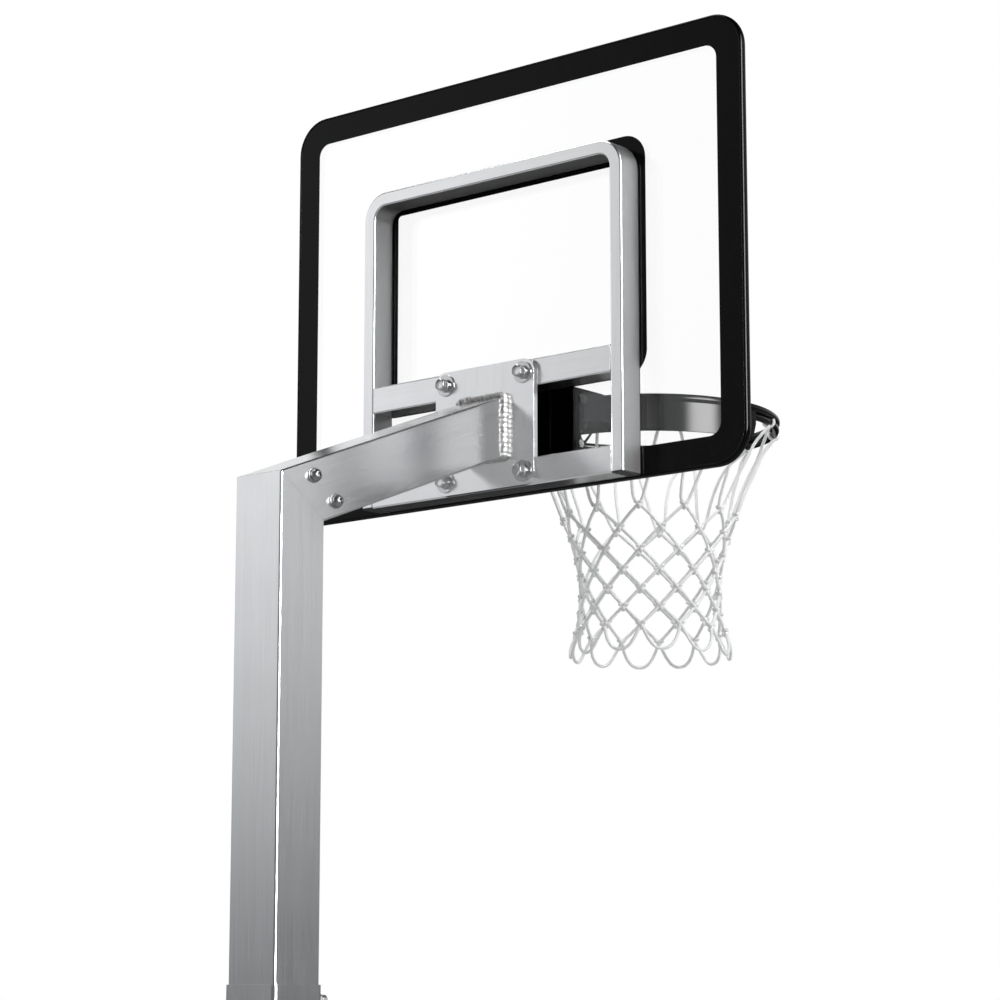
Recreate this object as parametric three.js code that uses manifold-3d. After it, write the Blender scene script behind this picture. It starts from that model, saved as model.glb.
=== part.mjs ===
// Poolside basketball hoop: a deck anchor, a square post with a mitred arm, a clear board on a
// bent tube frame, and a sprung rim with a double ring, a brace band and a net.
// Millimetres, +Z up. The board faces -Y and its sheet is parallel to X and Z.
// Pieces are drawn from the middle of the board's bottom edge, on the sheet's rear face, and then
// moved so that the origin is the centre of the deck plate's underside, on the post's axis.
import * as THREE from "three";
import { mergeVertices } from "three/addons/utils/BufferGeometryUtils.js";
import Module from "manifold-3d";

const wasm = await Module();
wasm.setup();

// Fits and drawing
const seatGap = 0.3;
const boltClearance = 0.4;
const cutOverrun = 5;
const mergeDistance = 0.0001;
const simplifyTolerance = 0.02;
const cornerSteps = 3;
const bendSteps = 7;
const roundSides = 12;
const ringSteps = 48;
const rodSides = 8;

// Deck anchor
const boardReach = 567;
const boardBottomHeight = 1050;
const deckPlateWidth = 300;
const deckPlateThickness = 12;
const deckPlateCorner = 20;
const anchorPitch = 230;
const anchorDiameter = 16;
const anchorNutAcrossFlats = 24;
const anchorNutHeight = 13;
const anchorWasherDiameter = 40;
const anchorWasherThickness = 3;
const anchorStudStandOut = 8;
const sleeveHeight = 190;
const sleeveWall = 3;
const sleeveClearance = 0.4;
const sleeveWeldLeg = 7;
const setBoltPitch = 60;
const setBoltDrop = 24;
const setBoltDiameter = 12;
const setBossDiameter = 26;
const setBossLength = 13;
const setHeadDiameter = 20;
const setHeadHeight = 10;
const setShankShowing = 4;

// Post and arm
const postWidth = 100;
const postWall = 4;
const postCorner = 3.5;
const armRise = THREE.MathUtils.degToRad(21);
const armCentreOnPlate = 107.5;
const spliceWall = 6;
const spliceClearance = 0.4;
const spliceLength = 150;
const armBoltFromSeam = 43.8;
const armBoltPitch = 50.6;
const armBoltDiameter = 10;
const armWasherDiameter = 28;
const armWasherThickness = 2.5;
const armStepDiameter = 22;
const armHeadDiameter = 20;
const armHeadTopDiameter = 12;
const armHeadHeight = 7.5;
const armNutAcrossFlats = 17;
const armNutHeight = 8;
const armBoltStandOut = 3;
const armWeldLeg = 9;
const armWeldBulge = 6;

// Board
const sheetWidth = 1014;
const sheetHeight = 773;
const sheetThickness = 12.7;
const sheetCorner = 60;
const skinThickness = 0.5;
const borderWidth = 49;
const borderInnerCorner = 24;
const targetBeyondFrame = 13;
const targetTop = 599;
const targetBottom = 173;
const targetBandWidth = 49;
const targetCorner = 45;
const targetInnerCorner = 8;
const boardScrewHeights = [268, 505];
const boardScrewDiameter = 8;
const boardScrewHeadDiameter = 18;
const boardScrewHeadHeight = 4;
const boardScrewReach = 6;

// Board frame, crossbars and mount plate
const frameWidth = 588;
const frameTop = 582.5;
const frameTubeWidth = 25;
const frameTubeDepth = 50;
const frameWall = 2.5;
const frameTubeCorner = 3;
const frameBendRadius = 37.5;
const plugHeadThickness = 2.5;
const plugDepth = 20;
const gasketThickness = 2.5;
const gasketWidth = 21;
const barHeight = 48;
const barWall = 3;
const barCorner = 2.5;
const upperBarBottom = 173;
const mountPlateWidth = 222;
const mountPlateHeight = 221;
const mountPlateThickness = 10;
const mountPlateCorner = 20;
const mountBoltPitch = 174;
const mountBoltHeights = [24, 197];
const mountBoltDiameter = 12;
const mountHeadAcrossFlats = 19;
const mountHeadHeight = 12;
const mountWasherDiameter = 38;
const mountWasherThickness = 3;
const lockWasherDiameter = 24;
const lockWasherThickness = 4;
const mountNutHeight = 10;
const mountBoltStandOut = 3;

// Rim bracket
const backingPlateWidth = 198;
const backingPlateBottom = 51;
const backingPlateTop = 171;
const backingPlateThickness = 3;
const backingPlateCorner = 6;
const rimBoltPitch = 127;
const rimBoltHeights = [61, 163];
const rimBoltDiameter = 9;
const rimHeadAcrossFlats = 14;
const rimHeadHeight = 6;
const rimWasherDiameter = 20;
const rimWasherThickness = 2;
const rimDiscDiameter = 19.4;
const rimDiscThickness = 3;
const rimNutAcrossFlats = 14;
const rimNutHeight = 8;
const bracketWidth = 284;
const bracketPlate = 5;
const bracketBottom = 50;
const bracketTop = 176;
const bracketReach = 100;
const bracketTopReach = 105;
const bracketNose = 137;
const bracketCorner = 8;
const slotRadius = 10;
const slotStart = 24.5;
const slotEnd = 52.5;
const hingeReach = 38;
const hingeHeight = 158;
const hingeDiameter = 12;
const hingeHeadDiameter = 18;
const hingeHeadHeight = 3;
const footReach = 27;
const footHeight = 77;
const footBoltDiameter = 8;
const footNutAcrossFlats = 13;
const footNutHeight = 6.5;
const footTubeDiameter = 16;
const springRise = THREE.MathUtils.degToRad(46.4);
const springSeatRadius = 13;
const springLength = 61;
const springDiameter = 22;
const springWire = 3.2;
const springTurns = 6;
const springSteps = 8;
const springSides = 5;
const springSpread = 226;
const springCupDiameter = 24;
const springCupThickness = 3;
const springStubDiameter = 10;
const bumperWidth = 12;
const bumperBottom = 161;
const bumperTop = 171;

// Rim carriage
const carriageWidth = 262;
const carriageArm = 5;
const carriageTop = 172;
const carriageBottom = 134;
const carriageRearReach = 26;
const carriageRearBottom = 150;
const carriageHeelReach = 34;
const carriageHeelHeight = 144;
const carriageChinReach = 104;
const carriageCorner = 4;
const carriageReach = 260;
const topPlateRearReach = 46;
const springPlateWidth = 28;
const springPlateThickness = 5;
const pinBossDiameter = 22;

// Ring, band and net
const rimInsideRadius = 228.6;
const rimTopHeight = 199.3;
const rimCentreReach = 413.8;
const upperRodDiameter = 16;
const lowerRodDiameter = 12.7;
const bandThickness = 3;
const bandBottom = 130;
const bandTop = 183;
const bandEndAngle = THREE.MathUtils.degToRad(1.2);
const bandEndCorner = 30;
const bandSteps = 32;
const carriageCutSides = 64;
const cordWidth = 5;
const knotWidth = 6.5;
const netLoops = 12;
const netLoopOuterEnd = THREE.MathUtils.degToRad(32);
const netLoopInnerEnd = THREE.MathUtils.degToRad(-212);
const netLoopSteps = 5;
const netKnotHeights = [39, -2, -43, -81, -116, -150, -185, -215];
const netTopHeights = [90, 140];
const netTopShares = [0.5, 0.12];
const netEndHeights = [-239, -249.5, -249.5, -239];
const netEndShares = [0.45, 0.8, 1.2, 1.55];
const netProfile = [
  [-251, 147], [-230, 148], [-211, 140.5], [-174, 130.5], [-137, 127.5], [-100, 128.5], [-62, 135],
  [-24, 146], [13, 160], [51, 174], [70, 181], [88, 190], [140, 214], [167.5, 236.6],
];

// Places worked out from the driving dimensions
const deckTop = deckPlateThickness - boardBottomHeight;
const sheetFront = -sheetThickness;
const gasketRear = skinThickness + gasketThickness;
const frameRear = gasketRear + frameTubeDepth;
const plateRear = frameRear + mountPlateThickness;
const sleeveTop = deckTop + sleeveHeight;
const sleeveInner = postWidth + 2 * sleeveClearance;
const sleeveOuter = sleeveInner + 2 * sleeveWall;
const bracketFront = sheetFront - bracketPlate;
const cheekInner = bracketWidth / 2 - bracketPlate;
const legCentre = (frameWidth - frameTubeWidth) / 2;
const legInner = frameWidth / 2 - frameTubeWidth;
const lowerRodHeight = rimTopHeight - upperRodDiameter - seatGap - lowerRodDiameter / 2;
const rodRadius = rimInsideRadius + upperRodDiameter / 2;
const bandInner = rodRadius + lowerRodDiameter / 2 + 2 * seatGap;
const bandOuter = bandInner + bandThickness;
const ringCentre = new THREE.Vector3(0, -rimCentreReach, 0);
const acrossAxis = new THREE.Vector3(1, 0, 0);
const depthAxis = new THREE.Vector3(0, 1, 0);
const upAxis = new THREE.Vector3(0, 0, 1);
const armAxis = new THREE.Vector3(0, -Math.cos(armRise), Math.sin(armRise));
const armNormal = new THREE.Vector3(0, Math.sin(armRise), Math.cos(armRise));
const plateFaceCentre = new THREE.Vector3(0, plateRear, armCentreOnPlate);
const armLength = (boardReach - plateRear) / Math.cos(armRise);
const elbow = plateFaceCentre.clone().addScaledVector(armAxis, -armLength);
const seamNormal = armAxis.clone().add(upAxis).normalize();
const springAxis = new THREE.Vector3(0, -Math.cos(springRise), Math.sin(springRise));
const springNormal = new THREE.Vector3(0, Math.sin(springRise), Math.cos(springRise));
const footCentre = new THREE.Vector3(0, -footReach, footHeight);

// Meshes and solids
function tidy(geometry) {
  const bare = geometry.clone();
  bare.deleteAttribute("normal");
  bare.deleteAttribute("uv");
  const merged = mergeVertices(bare, mergeDistance);
  const corners = merged.index.array;
  const kept = [];
  const at = merged.attributes.position;
  let volume = 0;
  const [a, b, c] = [new THREE.Vector3(), new THREE.Vector3(), new THREE.Vector3()];
  for (let i = 0; i < corners.length; i += 3) {
    const [p, q, r] = [corners[i], corners[i + 1], corners[i + 2]];
    if (p === q || q === r || r === p) continue;
    kept.push(p, q, r);
    a.fromBufferAttribute(at, p);
    b.fromBufferAttribute(at, q);
    c.fromBufferAttribute(at, r);
    volume += a.dot(b.cross(c));
  }
  if (volume < 0) kept.reverse();
  merged.setIndex(kept);
  merged.computeVertexNormals();
  return merged;
}

function toSolid(geometry) {
  const clean = tidy(geometry);
  const vertProperties = Float32Array.from(clean.attributes.position.array);
  const triVerts = Uint32Array.from(clean.index.array);
  return new wasm.Manifold(new wasm.Mesh({ numProp: 3, vertProperties, triVerts }));
}

function fromSolid(solid) {
  const mesh = solid.simplify(simplifyTolerance).getMesh();
  const geometry = new THREE.BufferGeometry();
  geometry.setAttribute("position", new THREE.BufferAttribute(mesh.vertProperties, 3));
  geometry.setIndex(new THREE.BufferAttribute(mesh.triVerts, 1));
  return geometry;
}

function join(...geometries) {
  return fromSolid(geometries.map(toSolid).reduce((whole, piece) => whole.add(piece)));
}

function cut(geometry, ...tools) {
  return fromSolid(tools.map(toSolid).reduce((whole, tool) => whole.subtract(tool), toSolid(geometry)));
}

// Outlines
function roundedOutline(corners, steps = cornerSteps) {
  const points = [];
  corners.forEach(([x, y, radius], index) => {
    const at = new THREE.Vector2(x, y);
    if (!radius) {
      points.push(at);
      return;
    }
    const [beforeX, beforeY] = corners.at(index - 1);
    const [afterX, afterY] = corners[(index + 1) % corners.length];
    const before = new THREE.Vector2(beforeX, beforeY).sub(at).normalize();
    const after = new THREE.Vector2(afterX, afterY).sub(at).normalize();
    const half = Math.acos(before.dot(after)) / 2;
    const centre = before.clone().add(after).setLength(radius / Math.sin(half)).add(at);
    const start = before.clone().multiplyScalar(radius / Math.tan(half)).add(at).sub(centre);
    const end = after.clone().multiplyScalar(radius / Math.tan(half)).add(at).sub(centre);
    const turn = Math.atan2(start.cross(end), start.dot(end));
    for (let step = 0; step <= steps; step += 1) {
      const spoke = start.clone().rotateAround(new THREE.Vector2(), turn * step / steps);
      points.push(spoke.add(centre));
    }
  });
  return points;
}

function rectangle(width, height, radius, steps) {
  const [x, y] = [width / 2, height / 2];
  return roundedOutline([[-x, -y, radius], [x, -y, radius], [x, y, radius], [-x, y, radius]], steps);
}

function box(left, bottom, right, top, radius, steps) {
  const middle = new THREE.Vector2(left + right, bottom + top).multiplyScalar(1 / 2);
  return rectangle(right - left, top - bottom, radius, steps).map((point) => point.add(middle));
}

function circle(radius, x = 0, y = 0, sides = roundSides) {
  return Array.from({ length: sides }, (_, index) => {
    const angle = 2 * Math.PI * index / sides;
    return new THREE.Vector2(x + radius * Math.cos(angle), y + radius * Math.sin(angle));
  });
}

function boreRadius(diameter, sides = roundSides) {
  return (diameter / 2 + boltClearance) / Math.cos(Math.PI / sides);
}

function hexagon(acrossFlats) {
  return circle(acrossFlats / Math.sqrt(3), 0, 0, 6);
}

// Plates
function plate(outline, holes, depth) {
  const face = new THREE.Shape(outline);
  face.holes = holes.map((hole) => new THREE.Path(hole));
  return new THREE.ExtrudeGeometry(face, { depth, bevelEnabled: false, steps: 1 });
}

function plateAcrossX(outline, holes, from, to) {
  const turn = new THREE.Matrix4().makeBasis(depthAxis, upAxis, acrossAxis);
  return plate(outline, holes, to - from).applyMatrix4(turn).translate(from, 0, 0);
}

function plateAcrossY(outline, holes, from, to) {
  return plate(outline, holes, to - from).rotateX(Math.PI / 2).translate(0, to, 0);
}

function plateAcrossZ(outline, holes, from, to) {
  return plate(outline, holes, to - from).translate(0, 0, from);
}

// Turned parts are drawn along +Y from [radius, distance] pairs that start and end on the axis.
function turned(profile, sides = roundSides) {
  return new THREE.LatheGeometry(profile.map(([radius, along]) => new THREE.Vector2(radius, along)), sides);
}

function facingX(geometry) {
  return geometry.rotateZ(-Math.PI / 2);
}

function facingZ(geometry) {
  return geometry.rotateX(Math.PI / 2);
}

function rod(diameter, from, to, sides = roundSides) {
  return turned([[0, from], [diameter / 2, from], [diameter / 2, to], [0, to]], sides);
}

function hexBar(acrossFlats, from, to) {
  return plateAcrossY(hexagon(acrossFlats), [], from, to);
}

function nut(acrossFlats, bore, from, to) {
  return plateAcrossY(hexagon(acrossFlats), [circle(boreRadius(bore))], from, to);
}

// Lofts: rings of matching points, closed by their end faces, by an inner wall or on themselves.
function quads(faces, first, second, count) {
  for (let index = 0; index < count; index += 1) {
    const next = (index + 1) % count;
    faces.push(first + index, first + next, second + next);
    faces.push(first + index, second + next, second + index);
  }
}

function meshOf(rings, faces) {
  const geometry = new THREE.BufferGeometry().setFromPoints(rings.flat());
  geometry.setIndex(faces);
  return geometry;
}

function loft(rings, closed = false) {
  const count = rings[0].length;
  const faces = [];
  for (let ring = 0; ring + 1 < rings.length; ring += 1) {
    quads(faces, ring * count, (ring + 1) * count, count);
  }
  const last = (rings.length - 1) * count;
  if (closed) quads(faces, last, 0, count);
  for (let index = 1; !closed && index + 1 < count; index += 1) {
    faces.push(0, index + 1, index);
    faces.push(last, last + index, last + index + 1);
  }
  return meshOf(rings, faces);
}

function tube(outerRings, innerRings) {
  const count = outerRings[0].length;
  const rings = [...outerRings, ...innerRings.toReversed()];
  const faces = [];
  rings.forEach((_, ring) => quads(faces, ring * count, (ring + 1) % rings.length * count, count));
  return meshOf(rings, faces);
}

// The ring where a square tube, running along a direction through a point, meets a plane
function ringOnPlane(outline, through, side, direction, planePoint, planeNormal) {
  return outline.map(({ x, y }) => {
    const start = through.clone().addScaledVector(acrossAxis, x).addScaledVector(side, y);
    const distance = planePoint.clone().sub(start).dot(planeNormal) / direction.dot(planeNormal);
    return start.addScaledVector(direction, distance);
  });
}

// A bead or skin that follows an outline which grows with its distance from the wall
function wrapped(profile, outlineAt, toPlace) {
  const rings = profile.map(([offset, rise]) => outlineAt(offset).map(({ x, y }) => toPlace(x, y, rise)));
  return loft(rings, true);
}

// The list of finished pieces
const group = new THREE.Group();

const brushed = { color: 0xb9bbbd, roughness: 0.38, metalness: 1 };
const zinc = { color: 0xc9cacb, roughness: 0.25, metalness: 1 };
const blackPaint = { color: 0x101113, roughness: 0.25, metalness: 0 };
const blackRubber = { color: 0x17181a, roughness: 0.8, metalness: 0 };
const blackFilm = { color: 0x0c0c0e, roughness: 0.15, metalness: 0 };
const clearSheet = { color: 0xf2f6f6, roughness: 0.05, metalness: 0, transparent: true, opacity: 0.25 };
const whiteCord = { color: 0xeeeeec, roughness: 0.9, metalness: 0 };

function add(name, geometry, look) {
  const mesh = new THREE.Mesh(tidy(geometry), new THREE.MeshStandardMaterial(look));
  mesh.geometry.translate(0, -boardReach, boardBottomHeight);
  mesh.name = name;
  group.add(mesh);
}

const corners = [[-1, -1], [1, -1], [1, 1], [-1, 1]];
const sides = [[-1, "left"], [1, "right"]];

// Deck anchor: flange plate, studs with nuts, square sleeve with its weld and two set bolts
function addDeckAnchor() {
  const places = corners.map(([x, y]) => [x * anchorPitch / 2, y * anchorPitch / 2]);
  const holes = places.map(([x, y]) => circle(boreRadius(anchorDiameter), x, y));
  const outline = rectangle(deckPlateWidth, deckPlateWidth, deckPlateCorner);
  const deckPlate = plateAcrossZ(outline, holes, -boardBottomHeight, deckTop);
  add("deck_plate", deckPlate.translate(0, boardReach, 0), brushed);

  const washerTop = deckTop + anchorWasherThickness;
  const nutTop = washerTop + anchorNutHeight;
  const stud = turned([
    [0, -boardBottomHeight], [anchorDiameter / 2, -boardBottomHeight], [anchorDiameter / 2, deckTop],
    [anchorWasherDiameter / 2, deckTop], [anchorWasherDiameter / 2, washerTop],
    [anchorDiameter / 2, washerTop], [anchorDiameter / 2, nutTop + anchorStudStandOut],
    [0, nutTop + anchorStudStandOut],
  ]);
  places.forEach(([x, y], index) => {
    const anchor = facingZ(join(stud, hexBar(anchorNutAcrossFlats, washerTop, nutTop)));
    add(`anchor_bolt_${index + 1}`, anchor.translate(x, boardReach + y, 0), zinc);
  });

  const outer = rectangle(sleeveOuter, sleeveOuter, postCorner + sleeveWall);
  const inner = rectangle(sleeveInner, sleeveInner, postCorner);
  const wall = plateAcrossZ(outer, [inner], deckTop, sleeveTop).translate(0, boardReach, 0);
  const sleeveFace = boardReach - sleeveOuter / 2;
  const bossFace = sleeveFace - setBossLength;
  const setHeight = sleeveTop - setBoltDrop;
  const bosses = sides.map(([side]) => (
    rod(setBossDiameter, bossFace, sleeveFace + sleeveWall / 2)
      .translate(side * setBoltPitch / 2, 0, setHeight)
  ));
  const bores = sides.map(([side]) => (
    rod(2 * boreRadius(setBoltDiameter), bossFace - cutOverrun, boardReach - postWidth / 2)
      .translate(side * setBoltPitch / 2, 0, setHeight)
  ));
  add("anchor_sleeve", cut(join(wall, ...bosses), ...bores), brushed);

  const headStart = bossFace - setShankShowing;
  const headEnd = headStart - setHeadHeight;
  const tip = boardReach - postWidth / 2 - seatGap;
  const setBolt = [
    [0, tip], [setBoltDiameter / 2, tip],
    [setBoltDiameter / 2, headStart], [setHeadDiameter / 2, headStart],
    [setHeadDiameter / 2, headEnd], [0, headEnd],
  ];
  for (const [side, label] of sides) {
    add(`set_bolt_${label}`, turned(setBolt).translate(side * setBoltPitch / 2, 0, setHeight), zinc);
  }

  const bead = [
    [seatGap, 0], [sleeveWeldLeg, 0],
    [sleeveWeldLeg / 2, sleeveWeldLeg / 2], [seatGap, sleeveWeldLeg],
  ];
  const around = (offset) => (
    rectangle(sleeveOuter + 2 * offset, sleeveOuter + 2 * offset, postCorner + sleeveWall + offset)
  );
  const weld = wrapped(bead, around, (x, y, rise) => new THREE.Vector3(x, boardReach + y, deckTop + rise));
  add("sleeve_weld", weld, brushed);
}

// Post, arm and the splice inside their mitred corner
function tubeSections(inset, wall) {
  const outerWidth = postWidth - 2 * inset;
  const innerWidth = outerWidth - 2 * wall;
  return [rectangle(outerWidth, outerWidth, postCorner), rectangle(innerWidth, innerWidth, postCorner)];
}

const onPost = (outline, point, normal) => ringOnPlane(outline, elbow, depthAxis, upAxis, point, normal);
const onArm = (outline, point, normal) => ringOnPlane(outline, elbow, armNormal, armAxis, point, normal);

function armBoltPlaces() {
  const mitreShare = Math.tan(Math.PI / 4 - armRise / 2);
  return [1, -1].map((side) => {
    const across = side * armBoltPitch / 2;
    const along = armBoltFromSeam / Math.cos(Math.PI / 4 - armRise / 2) - across * mitreShare;
    return elbow.clone().addScaledVector(armAxis, along).addScaledVector(armNormal, across);
  });
}

function armBoltHoles() {
  const reach = postWidth / 2 + cutOverrun;
  return armBoltPlaces().map((place) => (
    facingX(rod(2 * boreRadius(armBoltDiameter), -reach, reach)).translate(0, place.y, place.z)
  ));
}

function addPostAndArm() {
  const sections = tubeSections(0, postWall);
  const foot = new THREE.Vector3(0, boardReach, deckTop + seatGap);
  const postRings = sections.map((outline) => (
    [onPost(outline, foot, upAxis), onPost(outline, elbow, seamNormal)]
  ));
  add("post", tube(...postRings), brushed);

  const seamAbove = elbow.clone().addScaledVector(seamNormal, seatGap);
  const armRings = sections.map((outline) => (
    [onArm(outline, seamAbove, seamNormal), onArm(outline, plateFaceCentre, depthAxis)]
  ));
  add("arm", cut(tube(...armRings), ...armBoltHoles()), brushed);

  const spliceRings = tubeSections(postWall + spliceClearance, spliceWall).map((outline) => [
    onPost(outline, elbow.clone().addScaledVector(upAxis, -spliceLength), upAxis),
    onPost(outline, elbow, seamNormal),
    onArm(outline, elbow.clone().addScaledVector(armAxis, spliceLength), armAxis),
  ]);
  add("elbow_splice", cut(tube(...spliceRings), ...armBoltHoles()), brushed);
}

// Mount plate, its bolts with washers and nuts, and the weld round the arm's end
function pairsAt(heights, reach) {
  return heights.flatMap((height) => [[-reach, height], [reach, height]]);
}

const mountBoltPlaces = pairsAt(mountBoltHeights, mountBoltPitch / 2);
const rimBoltPlaces = pairsAt(rimBoltHeights, rimBoltPitch / 2);

function addMountPlate() {
  const holes = mountBoltPlaces.map(([x, z]) => circle(boreRadius(mountBoltDiameter), x, z));
  const outline = box(-mountPlateWidth / 2, 0, mountPlateWidth / 2, mountPlateHeight, mountPlateCorner);
  add("mount_plate", plateAcrossY(outline, holes, frameRear, plateRear), brushed);

  const nutRear = frameRear - barWall;
  const nutFront = nutRear - mountNutHeight;
  const tip = nutFront - mountBoltStandOut;
  const washerRear = plateRear + mountWasherThickness;
  const headStart = washerRear + lockWasherThickness;
  const shank = turned([
    [0, tip], [mountBoltDiameter / 2, tip], [mountBoltDiameter / 2, plateRear],
    [mountWasherDiameter / 2, plateRear], [mountWasherDiameter / 2, washerRear],
    [lockWasherDiameter / 2, washerRear], [lockWasherDiameter / 2, headStart], [0, headStart],
  ]);
  const bolt = join(shank, hexBar(mountHeadAcrossFlats, headStart, headStart + mountHeadHeight));
  const boltNut = nut(mountHeadAcrossFlats, mountBoltDiameter, nutFront, nutRear);
  mountBoltPlaces.forEach(([x, z], index) => {
    add(`plate_bolt_${index + 1}`, bolt.clone().translate(x, 0, z), zinc);
    add(`plate_nut_${index + 1}`, boltNut.clone().translate(x, 0, z), zinc);
  });

  const bead = [[seatGap, 0], [armWeldLeg, 0], [armWeldBulge, armWeldBulge], [seatGap, armWeldLeg]];
  const around = (offset) => (
    rectangle(postWidth + 2 * offset, postWidth / Math.cos(armRise) + 2 * offset, postCorner + offset)
  );
  const toPlace = (x, y, rise) => (
    new THREE.Vector3(x, plateRear + rise, armCentreOnPlate + y - rise * Math.tan(armRise))
  );
  add("arm_weld", wrapped(bead, around, toPlace), brushed);
}

function addArmBolts() {
  const face = postWidth / 2;
  const washerFace = face + armWasherThickness;
  const stepFace = washerFace + armWasherThickness;
  const headFace = stepFace + armHeadHeight;
  const bolt = turned([
    [0, -headFace], [armHeadTopDiameter / 2, -headFace],
    [armHeadDiameter / 2, -stepFace - armHeadHeight / 3], [armHeadDiameter / 2, -stepFace],
    [armStepDiameter / 2, -stepFace], [armStepDiameter / 2, -washerFace],
    [armWasherDiameter / 2, -washerFace], [armWasherDiameter / 2, -face],
    [armBoltDiameter / 2, -face], [armBoltDiameter / 2, washerFace + armNutHeight + armBoltStandOut],
    [0, washerFace + armNutHeight + armBoltStandOut],
  ]);
  const bore = circle(boreRadius(armBoltDiameter));
  const washer = plateAcrossY(circle(armWasherDiameter / 2), [bore], face, washerFace);
  const plainNut = nut(armNutAcrossFlats, armBoltDiameter, washerFace, washerFace + armNutHeight);
  const nutWithWasher = join(washer, plainNut);
  armBoltPlaces().forEach((place, index) => {
    const label = index === 0 ? "upper" : "lower";
    add(`arm_bolt_${label}`, facingX(bolt.clone()).translate(0, place.y, place.z), zinc);
    add(`arm_nut_${label}`, facingX(nutWithWasher.clone()).translate(0, place.y, place.z), zinc);
  });
}

// Bent tube frame behind the board, its rubber strip, leg plugs and the two crossbars
function framePath(outline, depth) {
  const bendX = legCentre - frameBendRadius;
  const bendZ = frameTop - frameTubeWidth / 2 - frameBendRadius;
  const bend = (centre, start) => Array.from({ length: bendSteps + 1 }, (_, step) => (
    [centre, bendZ, start + Math.PI / 2 * step / bendSteps]
  ));
  const stations = [
    [bendX, plugHeadThickness, 0], ...bend(bendX, 0),
    ...bend(-bendX, Math.PI / 2), [-bendX, plugHeadThickness, Math.PI],
  ];
  return stations.map(([centreX, centreZ, angle]) => outline.map(({ x, y }) => new THREE.Vector3(
    centreX + (frameBendRadius + x) * Math.cos(angle),
    depth + y,
    centreZ + (frameBendRadius + x) * Math.sin(angle),
  )));
}

const boardScrewPlaces = pairsAt(boardScrewHeights, legCentre);

function drilled(places, diameter, from, to) {
  return places.map(([x, z]) => rod(2 * boreRadius(diameter), from, to).translate(x, 0, z));
}

function addBoardFrame() {
  const middle = gasketRear + frameTubeDepth / 2;
  const outer = rectangle(frameTubeWidth, frameTubeDepth, frameTubeCorner);
  const [boreWidth, boreDepth] = [frameTubeWidth - 2 * frameWall, frameTubeDepth - 2 * frameWall];
  const boreCorner = frameTubeCorner - frameWall / 2;
  const inner = rectangle(boreWidth, boreDepth, boreCorner);
  const frontHoles = drilled(boardScrewPlaces, boardScrewDiameter, -cutOverrun, gasketRear + 2 * frameWall);
  add("board_frame", cut(tube(framePath(outer, middle), framePath(inner, middle)), ...frontHoles), brushed);

  const strip = rectangle(gasketWidth, gasketThickness, 0);
  const gasket = loft(framePath(strip, skinThickness + gasketThickness / 2));
  add("frame_gasket", cut(gasket, ...frontHoles), blackRubber);

  const spigot = rectangle(boreWidth - 2 * seatGap, boreDepth - 2 * seatGap, boreCorner);
  for (const [side, label] of sides) {
    const head = plateAcrossZ(outer, [], 0, plugHeadThickness);
    const plug = join(head, plateAcrossZ(spigot, [], plugHeadThickness / 2, plugHeadThickness + plugDepth));
    add(`leg_plug_${label}`, plug.translate(side * legCentre, middle, 0), blackRubber);
  }

  const [holeStart, holeEnd] = [frameRear - 2 * barWall, frameRear + cutOverrun];
  const rearHoles = drilled(mountBoltPlaces, mountBoltDiameter, holeStart, holeEnd);
  for (const [bottom, label] of [[0, "lower"], [upperBarBottom, "upper"]]) {
    const top = bottom + barHeight;
    const outline = box(gasketRear, bottom, frameRear, top, barCorner);
    const [front, rear] = [gasketRear + barWall, frameRear - barWall];
    const hollow = box(front, bottom + barWall, rear, top - barWall, barCorner / 2);
    const bar = plateAcrossX(outline, [hollow], -legInner, legInner);
    add(`${label}_crossbar`, cut(bar, ...rearHoles), brushed);
  }
}

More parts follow.
